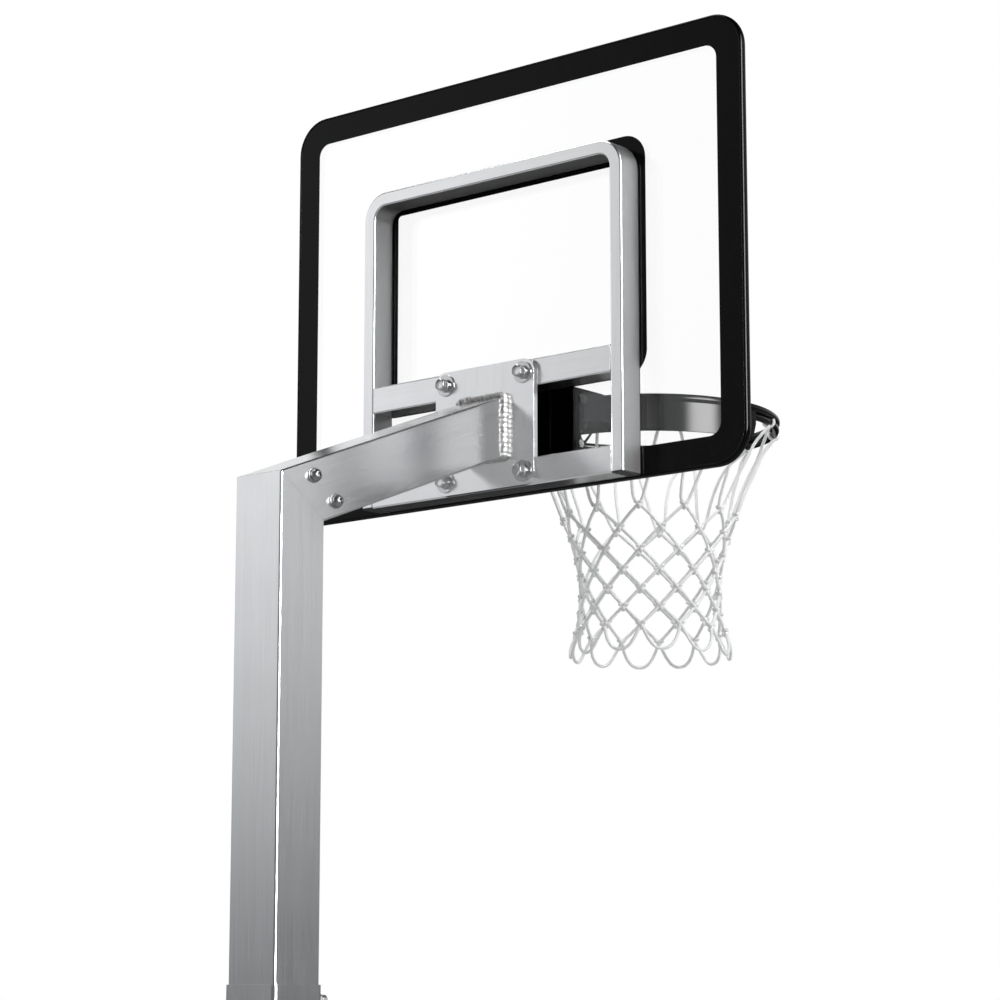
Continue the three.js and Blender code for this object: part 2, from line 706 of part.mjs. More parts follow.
// Clear sheet, its black border and target band, and the screws that hold it to the frame
function addBoard() {
  const sheetOutline = box(-sheetWidth / 2, 0, sheetWidth / 2, sheetHeight, sheetCorner, bendSteps);
  const sheetHoles = [
    ...boardScrewPlaces.map(([x, z]) => circle(boreRadius(boardScrewDiameter), x, z)),
    ...rimBoltPlaces.map(([x, z]) => circle(boreRadius(rimBoltDiameter), x, z)),
  ];
  add("backboard_sheet", plateAcrossY(sheetOutline, sheetHoles, sheetFront, 0), clearSheet);

  const cornerShare = (sheetCorner - borderInnerCorner) / borderWidth;
  const around = (offset) => {
    const radius = sheetCorner + (offset < 0 ? cornerShare * offset : offset);
    return rectangle(sheetWidth + 2 * offset, sheetHeight + 2 * offset, radius, bendSteps);
  };
  const lip = seatGap + skinThickness;
  const section = [
    [-borderWidth, 0], [seatGap, 0], [seatGap, sheetFront], [lip, sheetFront], [lip, skinThickness],
    [-borderWidth, skinThickness],
  ];
  const toPlace = (x, y, rise) => new THREE.Vector3(x, rise, sheetHeight / 2 + y);
  add("backboard_border", wrapped(section, around, toPlace), blackFilm);

  const half = frameWidth / 2 + targetBeyondFrame;
  const innerHalf = half - targetBandWidth;
  const bandOutline = box(-half, targetBottom, half, targetTop, targetCorner, bendSteps);
  const [windowBottom, windowTop] = [targetBottom + targetBandWidth, targetTop - targetBandWidth];
  const window = box(-innerHalf, windowBottom, innerHalf, windowTop, targetInnerCorner);
  const band = plateAcrossY(bandOutline, [window], 0, skinThickness);
  const bandHoles = drilled(boardScrewPlaces, boardScrewDiameter, -cutOverrun, cutOverrun);
  add("target_band", cut(band, ...bandHoles), blackFilm);

  const headFront = sheetFront - boardScrewHeadHeight;
  const tip = gasketRear + frameWall + boardScrewReach;
  const screw = turned([
    [0, headFront], [boardScrewHeadDiameter / 4, headFront],
    [boardScrewHeadDiameter / 2, sheetFront - boardScrewHeadHeight / 3],
    [boardScrewHeadDiameter / 2, sheetFront],
    [boardScrewDiameter / 2, sheetFront], [boardScrewDiameter / 2, tip], [0, tip],
  ]);
  boardScrewPlaces.forEach(([x, z], index) => {
    add(`board_screw_${index + 1}`, screw.clone().translate(x, 0, z), zinc);
  });
}

// Fixed half of the rim's mount: backing plate, bolts, bracket, hinge pin and spring foot
function obround(start, end, radius) {
  const along = end.clone().sub(start).normalize();
  const across = new THREE.Vector2(-along.y, along.x);
  const half = (centre, sign) => Array.from({ length: roundSides / 2 + 1 }, (_, step) => {
    const angle = Math.PI * step / (roundSides / 2);
    return centre.clone()
      .addScaledVector(across, sign * radius * Math.cos(angle))
      .addScaledVector(along, -sign * radius * Math.sin(angle));
  });
  return [...half(start, 1), ...half(end, -1)];
}

function alongSpring(distance) {
  return new THREE.Vector2(
    -footReach - distance * Math.cos(springRise),
    footHeight + distance * Math.sin(springRise),
  );
}

function facingSpring(geometry) {
  return geometry.rotateX(Math.PI - springRise).translate(0, -footReach, footHeight);
}

function addRimBracket() {
  const boltHoles = rimBoltPlaces.map(([x, z]) => circle(boreRadius(rimBoltDiameter), x, z));
  const reach = backingPlateWidth / 2;
  const backing = box(-reach, backingPlateBottom, reach, backingPlateTop, backingPlateCorner);
  add("rim_backing_plate", plateAcrossY(backing, boltHoles, 0, backingPlateThickness), blackPaint);

  const washerFront = bracketFront - rimWasherThickness;
  const discRear = backingPlateThickness + rimDiscThickness;
  const nutRear = discRear + rimNutHeight;
  const shank = turned([
    [0, washerFront], [rimWasherDiameter / 2, washerFront], [rimWasherDiameter / 2, bracketFront],
    [rimBoltDiameter / 2, bracketFront], [rimBoltDiameter / 2, backingPlateThickness],
    [rimDiscDiameter / 2, backingPlateThickness], [rimDiscDiameter / 2, discRear], [0, discRear],
  ]);
  const head = hexBar(rimHeadAcrossFlats, washerFront - rimHeadHeight, washerFront);
  const rimBolt = join(shank, head, hexBar(rimNutAcrossFlats, discRear, nutRear));
  rimBoltPlaces.forEach(([x, z], index) => {
    add(`rim_bolt_${index + 1}`, rimBolt.clone().translate(x, 0, z), blackPaint);
  });

  const half = bracketWidth / 2;
  const backOutline = box(-half, bracketBottom, half, bracketTop, 0);
  const back = plateAcrossY(backOutline, boltHoles, bracketFront, sheetFront);
  const cheekOutline = roundedOutline([
    [sheetFront, bracketBottom, 0], [sheetFront, bracketTop, 0],
    [-bracketTopReach, bracketTop, bracketCorner],
    [-bracketReach, bracketNose, bracketCorner], [bracketFront, bracketBottom, 0],
  ]);
  const cheekHoles = [
    obround(alongSpring(slotStart), alongSpring(slotEnd), slotRadius),
    circle(boreRadius(hingeDiameter), -hingeReach, hingeHeight),
    circle(boreRadius(footBoltDiameter), -footReach, footHeight),
  ];
  const cheeks = [-half, cheekInner].map((from) => (
    plateAcrossX(cheekOutline, cheekHoles, from, from + bracketPlate)
  ));
  add("rim_bracket", join(back, ...cheeks), blackPaint);

  const armMiddle = (carriageWidth - carriageArm) / 2;
  for (const [side, label] of sides) {
    const outline = box(-bumperWidth / 2, bumperBottom, bumperWidth / 2, bumperTop, 0);
    const bumper = plateAcrossY(outline, [], seatGap - carriageRearReach, bracketFront);
    add(`stop_bumper_${label}`, bumper.translate(side * armMiddle, 0, 0), blackRubber);
  }

  const pinEnd = half + hingeHeadHeight;
  const pin = facingX(turned([
    [0, -pinEnd], [hingeHeadDiameter / 2, -pinEnd],
    [hingeHeadDiameter / 2, -half], [hingeDiameter / 2, -half],
    [hingeDiameter / 2, half], [hingeHeadDiameter / 2, half], [hingeHeadDiameter / 2, pinEnd], [0, pinEnd],
  ]));
  add("hinge_pin", pin.translate(0, -hingeReach, hingeHeight), zinc);
}

function addSpringFoot() {
  const half = bracketWidth / 2;
  const nutEnd = half + footNutHeight;
  const bolt = facingX(join(
    rod(footBoltDiameter, -nutEnd - footBoltDiameter / 4, nutEnd - footNutHeight / 4),
    hexBar(footNutAcrossFlats, -nutEnd, -half),
    hexBar(footNutAcrossFlats, half, nutEnd),
  ));
  add("spring_anchor_bolt", bolt.translate(0, -footReach, footHeight), zinc);

  const tubeEnd = cheekInner - seatGap;
  const place = (geometry) => geometry.translate(0, -footReach, footHeight);
  const cups = sides.flatMap(([side]) => [
    rod(springCupDiameter, springSeatRadius - springCupThickness, springSeatRadius),
    rod(springStubDiameter, 0, springSeatRadius - springCupThickness / 2),
  ].map((piece) => facingSpring(piece).translate(side * springSpread / 2, 0, 0)));
  const bore = place(facingX(rod(2 * boreRadius(footBoltDiameter), -half, half)));
  const foot = cut(join(place(facingX(rod(footTubeDiameter, -tubeEnd, tubeEnd))), ...cups), bore);
  add("spring_foot", foot, blackPaint);
}

// Compression springs, one unbroken helical tube each
function springPoint(share) {
  const angle = 2 * Math.PI * springTurns * share;
  const free = springLength - springWire - seatGap;
  const along = springSeatRadius + (springWire + seatGap) / 2 + free * share;
  const radius = (springDiameter - springWire) / 2;
  return footCentre.clone()
    .addScaledVector(springAxis, along)
    .addScaledVector(acrossAxis, radius * Math.cos(angle))
    .addScaledVector(springNormal, radius * Math.sin(angle));
}

function tubeAlong(points, radius, sideCount, outward) {
  const rings = points.map((point, index) => {
    const before = points[Math.max(index - 1, 0)];
    const after = points[Math.min(index + 1, points.length - 1)];
    const tangent = after.clone().sub(before).normalize();
    const first = outward(point).projectOnPlane(tangent).normalize();
    const second = tangent.clone().cross(first);
    return circle(radius, 0, 0, sideCount).map(({ x, y }) => (
      point.clone().addScaledVector(first, x).addScaledVector(second, y)
    ));
  });
  return loft(rings);
}

function leastGap(points) {
  let least = Infinity;
  points.forEach((point, index) => {
    for (let other = index + springSteps / 2; other < points.length; other += 1) {
      least = Math.min(least, point.distanceTo(points[other]) - springWire);
    }
  });
  return least;
}

function addSprings() {
  const steps = springTurns * springSteps;
  const points = Array.from({ length: steps + 1 }, (_, step) => springPoint(step / steps));
  console.log("spring least gap", leastGap(points).toFixed(2));
  const fromAxis = (point) => {
    const offset = point.clone().sub(footCentre);
    return offset.addScaledVector(springAxis, -offset.dot(springAxis));
  };
  for (const [side, label] of sides) {
    const spring = tubeAlong(points, springWire / 2, springSides, fromAxis);
    add(`rim_spring_${label}`, spring.translate(side * springSpread / 2, 0, 0), zinc);
  }
}

// Moving half of the rim's mount: side arms, spring plate and top plate, cut to the ring's curve
function addCarriage() {
  const half = carriageWidth / 2;
  const springFace = springSeatRadius + springLength;
  const flatNormal = new THREE.Vector2(Math.sin(springRise), Math.cos(springRise));
  const springCorner = (distance, side) => (
    alongSpring(distance).addScaledVector(flatNormal, side * springPlateWidth / 2)
  );
  const rearFoot = springCorner(springFace, 1);
  const frontFoot = springCorner(springFace, -1);
  const frontTop = springCorner(springFace + springPlateThickness, -1);
  const rearTop = springCorner(springFace + springPlateThickness, 1);
  const armOutline = roundedOutline([
    [-carriageRearReach, carriageTop, 0], [-carriageRearReach, carriageRearBottom, carriageCorner],
    [-carriageHeelReach, carriageHeelHeight, carriageCorner], [rearFoot.x, rearFoot.y, 0],
    [frontFoot.x, frontFoot.y, 0], [frontTop.x, frontTop.y, 0],
    [-carriageChinReach, carriageBottom, carriageCorner], [-carriageReach, carriageBottom, 0],
    [-carriageReach, carriageTop, 0],
  ]);
  const topOutline = box(-carriageReach, carriageTop - carriageArm, -topPlateRearReach, carriageTop, 0);
  const bosses = [-cheekInner + seatGap, half - carriageArm / 2].map((from) => (
    facingX(rod(pinBossDiameter, from, from + cheekInner - seatGap - half + carriageArm / 2))
      .translate(0, -hingeReach, hingeHeight)
  ));
  const body = join(
    plateAcrossX(armOutline, [], -half, carriageArm - half),
    plateAcrossX(armOutline, [], half - carriageArm, half),
    plateAcrossX([rearFoot, frontFoot, frontTop, rearTop], [], -half, half),
    plateAcrossX(topOutline, [], -half, half),
    ...bosses,
  );
  const cutRadius = (bandOuter + seatGap) / Math.cos(Math.PI / carriageCutSides);
  const ringCut = facingZ(rod(2 * cutRadius, 0, rimTopHeight, carriageCutSides))
    .translate(0, -rimCentreReach, 0);
  const pinBore = facingX(rod(2 * boreRadius(hingeDiameter), -bracketWidth, bracketWidth));
  add("rim_carriage", cut(body, ringCut, pinBore.translate(0, -hingeReach, hingeHeight)), blackPaint);
}

// Double ring and the band that braces its half nearest the board
function addRing() {
  const upper = new THREE.TorusGeometry(rodRadius, upperRodDiameter / 2, rodSides, ringSteps);
  const lower = new THREE.TorusGeometry(rodRadius, lowerRodDiameter / 2, rodSides, ringSteps);
  const upperHeight = rimTopHeight - upperRodDiameter / 2;
  add("ring_upper", upper.translate(0, -rimCentreReach, upperHeight), blackPaint);
  add("ring_lower", lower.translate(0, -rimCentreReach, lowerRodHeight), blackPaint);

  const corner = Array.from({ length: cornerSteps + 1 }, (_, step) => {
    const angle = Math.PI / 2 * step / cornerSteps;
    const along = bandEndCorner * (1 - Math.cos(angle)) / bandOuter;
    return [bandEndAngle + along, bandEndCorner * (1 - Math.sin(angle))];
  });
  const sweep = Math.PI - 2 * corner.at(-1)[0];
  const middle = Array.from({ length: bandSteps - 1 }, (_, step) => [
    corner.at(-1)[0] + sweep * (step + 1) / bandSteps, 0,
  ]);
  const mirrored = corner.toReversed().map(([angle, rise]) => [Math.PI - angle, rise]);
  const rings = [...corner, ...middle, ...mirrored].map(([angle, rise]) => [
    [bandInner, bandBottom + rise], [bandOuter, bandBottom + rise],
    [bandOuter, bandTop], [bandInner, bandTop],
  ].map(([radius, height]) => new THREE.Vector3(
    -radius * Math.cos(angle), radius * Math.sin(angle) - rimCentreReach, height,
  )));
  add("ring_band", loft(rings), blackPaint);
}

// Net of twelve loops: knots are blocks with an opening towards each of their four cords, and the
// cords are square tubes from opening to opening, so that the whole net is one closed skin.
function netRadius(height) {
  const above = Math.max(netProfile.findIndex(([level]) => level >= height), 1);
  const [lowLevel, lowRadius] = netProfile[above - 1];
  const [highLevel, highRadius] = netProfile[above];
  return THREE.MathUtils.mapLinear(height, lowLevel, highLevel, lowRadius, highRadius);
}

function netFrame(angle) {
  const outward = new THREE.Vector3(Math.cos(angle), Math.sin(angle), 0);
  return [outward, upAxis.clone().cross(outward)];
}

function netPoint(angle, height) {
  return netFrame(angle)[0].multiplyScalar(netRadius(height)).add(ringCentre).setZ(height);
}

function moved(point, ...steps) {
  const end = point.clone();
  for (const [direction, distance] of steps) end.addScaledVector(direction, distance);
  return end;
}

function addNet() {
  const half = cordWidth / 2;
  const stepAngle = Math.PI / netLoops;
  const loopRadius = lowerRodDiameter / 2 + seatGap + half;
  const loopBottomHeight = lowerRodHeight - loopRadius;
  const points = [];
  const faces = [];

  const addQuad = (quad) => {
    const base = points.push(...quad) - quad.length;
    faces.push(base, base + 1, base + 2, base, base + 2, base + 3);
  };
  const addTube = (rings) => {
    const base = points.length;
    points.push(...rings.flat());
    for (let ring = 0; ring + 1 < rings.length; ring += 1) {
      quads(faces, base + 4 * ring, base + 4 * ring + 4, 4);
    }
  };
  const middleOf = (ring) => (
    ring.reduce((sum, point) => sum.add(point), new THREE.Vector3()).divideScalar(4)
  );
  const addCord = (startRing, through, endRing) => {
    const line = [middleOf(startRing), ...through, middleOf(endRing)];
    const rings = through.map((point, index) => {
      const along = line[index + 2].clone().sub(line[index]).normalize();
      const outward = point.clone().sub(ringCentre).setZ(0).projectOnPlane(along).setLength(half);
      const right = along.clone().cross(outward);
      return [
        moved(point, [outward, 1], [right, -1]), moved(point, [outward, 1], [right, 1]),
        moved(point, [outward, -1], [right, 1]), moved(point, [outward, -1], [right, -1]),
      ];
    });
    addTube([startRing, ...rings, endRing]);
  };
  const opening = (left, right) => [left[0], right[0], right[1], left[1]];
  const angleAt = (row, index) => (2 * index + row + 2) * stepAngle;

  const knotAt = (row, index) => {
    const angle = angleAt(row, index);
    const [outward, around] = netFrame(angle);
    const place = netPoint(angle, netKnotHeights[row]);
    const reach = knotWidth / Math.SQRT2;
    const side = (along, up) => [1, -1].map((sign) => (
      moved(place, [around, along * reach], [upAxis, up * reach], [outward, sign * half])
    ));
    return { top: side(0, 1), right: side(1, 0), bottom: side(0, -1), left: side(-1, 0) };
  };

  const loopAt = (index) => {
    const [outward, around] = netFrame(angleAt(-1, index));
    const rodCentre = outward.clone().multiplyScalar(rodRadius).add(ringCentre).setZ(lowerRodHeight);
    const place = rodCentre.clone().setZ(loopBottomHeight);
    const at = (out, along, up) => (
      moved(place, [outward, out * half], [around, along * half], [upAxis, up * half])
    );
    addQuad([at(1, -1, 1), at(1, 1, 1), at(-1, 1, 1), at(-1, -1, 1)]);
    addQuad([at(1, 1, -1), at(1, -1, -1), at(-1, -1, -1), at(-1, 1, -1)]);
    const outerFace = [at(1, 1, -1), at(1, 1, 1), at(1, -1, 1), at(1, -1, -1)];
    const innerFace = [at(-1, -1, -1), at(-1, -1, 1), at(-1, 1, 1), at(-1, 1, -1)];
    const wrap = (face, sign, end) => {
      const rings = Array.from({ length: netLoopSteps }, (_, step) => {
        const angle = -Math.PI / 2 + (end + Math.PI / 2) * (step + 1) / netLoopSteps;
        const spoke = moved(new THREE.Vector3(), [outward, Math.cos(angle)], [upAxis, Math.sin(angle)]);
        return [[1, 1], [1, -1], [-1, -1], [-1, 1]].map(([along, out]) => (
          moved(rodCentre, [around, sign * along * half], [spoke, loopRadius + out * half])
        ));
      });
      addTube([face, ...rings]);
      addQuad(rings.at(-1));
    };
    wrap(innerFace, -1, netLoopInnerEnd);
    if (outward.y > 0) addQuad(outerFace);
    else wrap(outerFace, 1, netLoopOuterEnd);
    return {
      leftOpening: [at(1, -1, 1), at(1, -1, -1), at(-1, -1, -1), at(-1, -1, 1)],
      rightOpening: [at(1, 1, -1), at(1, 1, 1), at(-1, 1, 1), at(-1, 1, -1)],
    };
  };

  const loops = Array.from({ length: netLoops }, (_, index) => loopAt(index));
  const knots = netKnotHeights.map((_, row) => (
    Array.from({ length: netLoops }, (__, index) => knotAt(row, index))
  ));
  for (let index = 0; index < netLoops; index += 1) {
    const next = (index + 1) % netLoops;
    const slack = (turn) => netTopHeights.map((height, level) => (
      netPoint(angleAt(0, index) + turn * (1 - netTopShares[level]) * stepAngle, height)
    ));
    const top = knots[0][index];
    addCord(opening(top.left, top.top), slack(-1), loops[index].rightOpening);
    addCord(opening(top.top, top.right), slack(1), loops[next].leftOpening);

    knots.forEach((rowKnots, row) => {
      const { top: up, right, bottom, left } = rowKnots[index];
      addQuad([up[0], left[0], bottom[0], right[0]]);
      addQuad([up[1], right[1], bottom[1], left[1]]);
      if (row === 0) return;
      const [upperLeft, upperRight] = [knots[row - 1][index], knots[row - 1][next]];
      addCord(opening(left, up), [], opening(upperLeft.bottom, upperLeft.right));
      addCord(opening(up, right), [], opening(upperRight.left, upperRight.bottom));
    });

    const last = knots.at(-1);
    const lastAngle = angleAt(netKnotHeights.length - 1, index);
    const loopEnd = netEndShares.map((share, level) => (
      netPoint(lastAngle + share * stepAngle, netEndHeights[level])
    ));
    const [loopStart, loopFinish] = [last[index], last[next]];
    addCord(
      opening(loopStart.right, loopStart.bottom), loopEnd,
      opening(loopFinish.left, loopFinish.bottom),
    );
  }
  add("net", meshOf([points], faces), whiteCord);
}

addDeckAnchor();
addPostAndArm();
addArmBolts();
addMountPlate();
addBoardFrame();
addBoard();
addRimBracket();
addSpringFoot();
addSprings();
addCarriage();
addRing();
addNet();

export default group;
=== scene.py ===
import math

import bmesh
import bpy
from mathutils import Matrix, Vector


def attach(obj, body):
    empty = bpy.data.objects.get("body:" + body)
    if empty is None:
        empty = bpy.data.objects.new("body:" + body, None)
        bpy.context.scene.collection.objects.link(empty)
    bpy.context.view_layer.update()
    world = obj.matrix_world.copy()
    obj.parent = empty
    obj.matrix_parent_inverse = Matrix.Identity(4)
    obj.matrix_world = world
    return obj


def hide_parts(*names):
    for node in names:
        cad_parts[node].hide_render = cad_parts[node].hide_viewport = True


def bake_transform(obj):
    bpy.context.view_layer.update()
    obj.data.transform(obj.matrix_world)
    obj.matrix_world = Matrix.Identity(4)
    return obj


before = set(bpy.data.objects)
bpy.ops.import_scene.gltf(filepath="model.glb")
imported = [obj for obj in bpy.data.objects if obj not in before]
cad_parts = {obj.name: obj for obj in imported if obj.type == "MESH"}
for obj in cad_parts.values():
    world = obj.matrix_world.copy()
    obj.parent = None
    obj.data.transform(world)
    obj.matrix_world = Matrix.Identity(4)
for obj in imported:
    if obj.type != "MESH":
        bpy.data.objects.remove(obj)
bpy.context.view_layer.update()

# Camera, studio and floor.
# The hoop is seen from behind the board and a little from below, from about four and a half metres.
# The camera's place comes from some fifty straight edges of the picture, which is square.
scene = bpy.context.scene
scene.view_settings.view_transform = "Standard"
line_of_sight = Vector((0.62847, -0.75713, 0.17831))
camera = bpy.data.objects.new("camera", bpy.data.cameras.new("camera"))
camera.data.sensor_width = 36
camera.data.lens = 103.916
camera.location = (-3.1557, 3.2544, 0.1438)
camera.rotation_euler = line_of_sight.to_track_quat("-Z", "Y").to_euler()
scene.collection.objects.link(camera)
scene.camera = camera


def linear(colour):
    """An sRGB hex colour as linear red, green, blue and alpha."""
    shares = [int(colour[start:start + 2], 16) / 255 for start in (1, 3, 5)]
    return tuple(s / 12.92 if s <= 0.04045 else ((s + 0.055) / 1.055) ** 2.4 for s in shares) + (1,)


def add(tree, kind, settings=None, links=None):
    """Adds a node. Lower-case settings are its own, the others and the links are its sockets'."""
    node = tree.nodes.new(kind)
    for name, value in (settings or {}).items():
        if name == "stops":
            ramp = node.color_ramp.elements
            for element, (place, colour) in ((ramp[0], value[0]), (ramp[-1], value[-1])):
                element.position, element.color = place, linear(colour)
            for place, colour in value[1:-1]:
                ramp.new(place).color = linear(colour)
        elif isinstance(name, str) and name.islower():
            setattr(node, name, value)
        else:
            node.inputs[name].default_value = value
    for name, source in (links or {}).items():
        tree.links.new(source, node.inputs[name])
    return node


# The backdrop is white. In metal it shades off towards the horizon and away from the sunny side,
# as open ground with the sky above it does, so a tube darkens towards its foot. Pale ground lies
# below the horizon, but for a shaded stretch in front of the board. The low sun is an upright glare.
studio = bpy.data.worlds.new("studio")
scene.world = studio
studio.use_nodes = True
tree = studio.node_tree
tree.nodes.clear()
rays = add(tree, "ShaderNodeLightPath")
direction = add(tree, "ShaderNodeTexCoord").outputs["Generated"]
parts = add(tree, "ShaderNodeSeparateXYZ", {}, {0: direction}).outputs
height = add(tree, "ShaderNodeMapRange", {"From Min": -0.4, "From Max": 0.9}, {"Value": parts["Z"]})
sky = add(tree, "ShaderNodeValToRGB", {
    "stops": [(0.231, "#1c1c1d"), (0.277, "#2a2a2b"), (0.317, "#626365"), (0.346, "#929496"),
              (0.365, "#aeb0b2"), (0.393, "#c9cbcd"), (0.42, "#dfe1e3"), (0.462, "#f0f2f4"),
              (0.508, "#fbfdff"), (0.6, "#fdfeff"), (0.692, "#8c8d8e"), (0.846, "#3c3c3d"),
              (1.0, "#2a2a2b")],
}, {"Fac": height.outputs[0]})

# A bearing runs from 0 at minus X through minus Y, plus X and plus Y, and back to 1.
angle_round = add(tree, "ShaderNodeMath", {"operation": "ARCTAN2"}, {0: parts["Y"], 1: parts["X"]})
bearing = add(tree, "ShaderNodeMapRange", {"From Min": -math.pi, "From Max": math.pi}, {
    "Value": angle_round.outputs[0],
})
side = add(tree, "ShaderNodeValToRGB", {
    "stops": [(0.0, "#b0b0b0"), (0.1, "#c8c8c8"), (0.14, "#c8c8c8"), (0.3, "#c7c7c7"),
              (0.37, "#e2e2e2"), (0.5, "#d2d2d2"), (0.6, "#e2e2e2"), (0.63, "#f2f2f2"),
              (0.645, "#c6c6c6"), (0.66, "#a6a6a6"), (0.7, "#8c8c8c"), (0.8, "#848484"),
              (0.83, "#989898"), (0.87, "#989898"), (0.91, "#585858"), (0.955, "#585858"),
              (1.0, "#b8b8b8")],
}, {"Fac": bearing.outputs[0]})
shaded_sky = add(tree, "ShaderNodeVectorMath", {"operation": "MULTIPLY"}, {
    0: sky.outputs[0], 1: side.outputs[0],
})
ground_tone = add(tree, "ShaderNodeValToRGB", {
    "stops": [(0.0, "#8c8c8b"), (0.22, "#8c8c8b"), (0.3, "#000000"), (0.42, "#000000"),
              (0.52, "#8c8c8b"), (1.0, "#8c8c8b")],
}, {"Fac": bearing.outputs[0]})
below = add(tree, "ShaderNodeMapRange", {"From Min": -0.03, "From Max": -0.16}, {"Value": parts["Z"]})
ground = add(tree, "ShaderNodeVectorMath", {"operation": "SCALE"}, {
    0: ground_tone.outputs[0], "Scale": below.outputs[0],
})
sky_and_ground = add(tree, "ShaderNodeVectorMath", {"operation": "ADD"}, {
    0: shaded_sky.outputs[0], 1: ground.outputs[0],
})

towards_low_sun = (-0.9976, 0.0698, 0)
flattened = add(tree, "ShaderNodeVectorMath", {"operation": "MULTIPLY", 1: (1, 1, 0)}, {0: direction})
level = add(tree, "ShaderNodeVectorMath", {"operation": "NORMALIZE"}, {0: flattened.outputs[0]})
low_sun = add(tree, "ShaderNodeVectorMath", {"operation": "DOT_PRODUCT", 1: towards_low_sun}, {
    0: level.outputs[0],
})
strip = add(tree, "ShaderNodeMapRange", {
    "interpolation_type": "SMOOTHSTEP", "From Min": 0.955, "From Max": 0.997, "To Max": 32,
}, {"Value": low_sun.outputs["Value"]})
strip_ends = add(tree, "ShaderNodeValToRGB", {
    "stops": [(0.231, "#000000"), (0.308, "#ffffff"), (0.538, "#ffffff"), (0.692, "#000000")],
}, {"Fac": height.outputs[0]})
glare = add(tree, "ShaderNodeVectorMath", {"operation": "SCALE"}, {
    0: strip_ends.outputs[0], "Scale": strip.outputs[0],
})
sunlit = add(tree, "ShaderNodeVectorMath", {"operation": "ADD"}, {
    0: sky_and_ground.outputs[0], 1: glare.outputs[0],
})
mirrored_view = add(tree, "ShaderNodeVectorMath", {"operation": "SCALE", "Scale": 1.45}, {
    0: sunlit.outputs[0],
})

# Only a mirrored ray meets the shaded sky. Seen straight or through the sheet, all round is white,
# and soft light comes evenly from everywhere.
mirrored = add(tree, "ShaderNodeMath", {"operation": "MINIMUM", 1: 1}, {0: rays.outputs["Glossy Depth"]})
reflected = add(tree, "ShaderNodeMix", {"data_type": "RGBA", 6: (1, 1, 1, 1)}, {
    0: mirrored.outputs[0], 7: mirrored_view.outputs[0],
})
seen = add(tree, "ShaderNodeMath", {"operation": "MAXIMUM"}, {
    0: rays.outputs["Is Camera Ray"], 1: rays.outputs["Is Glossy Ray"],
})
shown = add(tree, "ShaderNodeMath", {"operation": "MAXIMUM"}, {
    0: seen.outputs[0], 1: rays.outputs["Is Transmission Ray"],
})
backdrop = add(tree, "ShaderNodeBackground", {"Strength": 1.0}, {"Color": reflected.outputs[2]})
ambient = add(tree, "ShaderNodeBackground", {"Color": linear("#f4f7fb"), "Strength": 0.52})
mixed = add(tree, "ShaderNodeMixShader", {}, {
    0: shown.outputs[0], 1: ambient.outputs[0], 2: backdrop.outputs[0],
})
add(tree, "ShaderNodeOutputWorld", {}, {"Surface": mixed.outputs[0]})

# Two square soft lamps point at the board: one from high up, one from the sunny side.
lit_point = Vector((0, -0.5, 1.0))
for name, place, size, watts in (
    ("key", (1.6, 0.9, 5.2), 2.2, 85),
    ("sunny_side", (-3.6, -1.0, 3.5), 1.2, 85),
):
    lamp = bpy.data.objects.new(name, bpy.data.lights.new(name, "AREA"))
    lamp.data.size, lamp.data.energy = size, watts
    lamp.location = place
    lamp.rotation_euler = (lit_point - Vector(place)).to_track_quat("-Z", "Y").to_euler()
    scene.collection.objects.link(lamp)

# The floor lies half a millimetre under the deck plate and fades into the backdrop.
floor_mesh = bpy.data.meshes.new("floor")
floor_corners = [(x, y, -0.0005) for x, y in ((-2.6, -2.9), (2.6, -2.9), (2.6, 2.3), (-2.6, 2.3))]
floor_mesh.from_pydata(floor_corners, [], [(0, 1, 2, 3)])
floor = bpy.data.objects.new("floor", floor_mesh)
scene.collection.objects.link(floor)
pale = bpy.data.materials.new("pale_floor")
pale.use_nodes = True
tree = pale.node_tree
place = add(tree, "ShaderNodeTexCoord").outputs["Object"]
grain = add(tree, "ShaderNodeTexNoise", {"Scale": 1.5, "Detail": 3}, {"Vector": place})
tone = add(tree, "ShaderNodeValToRGB", {"stops": [(0.3, "#c4c4c3"), (0.7, "#cbcbca")]}, {
    "Fac": grain.outputs[0],
})
shader = tree.nodes["Principled BSDF"]
shader.inputs["Roughness"].default_value = 0.9
tree.links.new(tone.outputs[0], shader.inputs["Base Color"])
from_middle = add(tree, "ShaderNodeVectorMath", {"operation": "DISTANCE", 1: (0, -0.3, 0)}, {0: place})
fade = add(tree, "ShaderNodeMapRange", {"From Min": 1.3, "From Max": 2.5}, {
    "Value": from_middle.outputs["Value"],
})
open_floor = add(tree, "ShaderNodeBsdfTransparent")
faded = add(tree, "ShaderNodeMixShader", {}, {
    0: fade.outputs[0], 1: shader.outputs[0], 2: open_floor.outputs[0],
})
tree.links.new(faded.outputs[0], tree.nodes["Material Output"].inputs["Surface"])
floor_mesh.materials.append(pale)


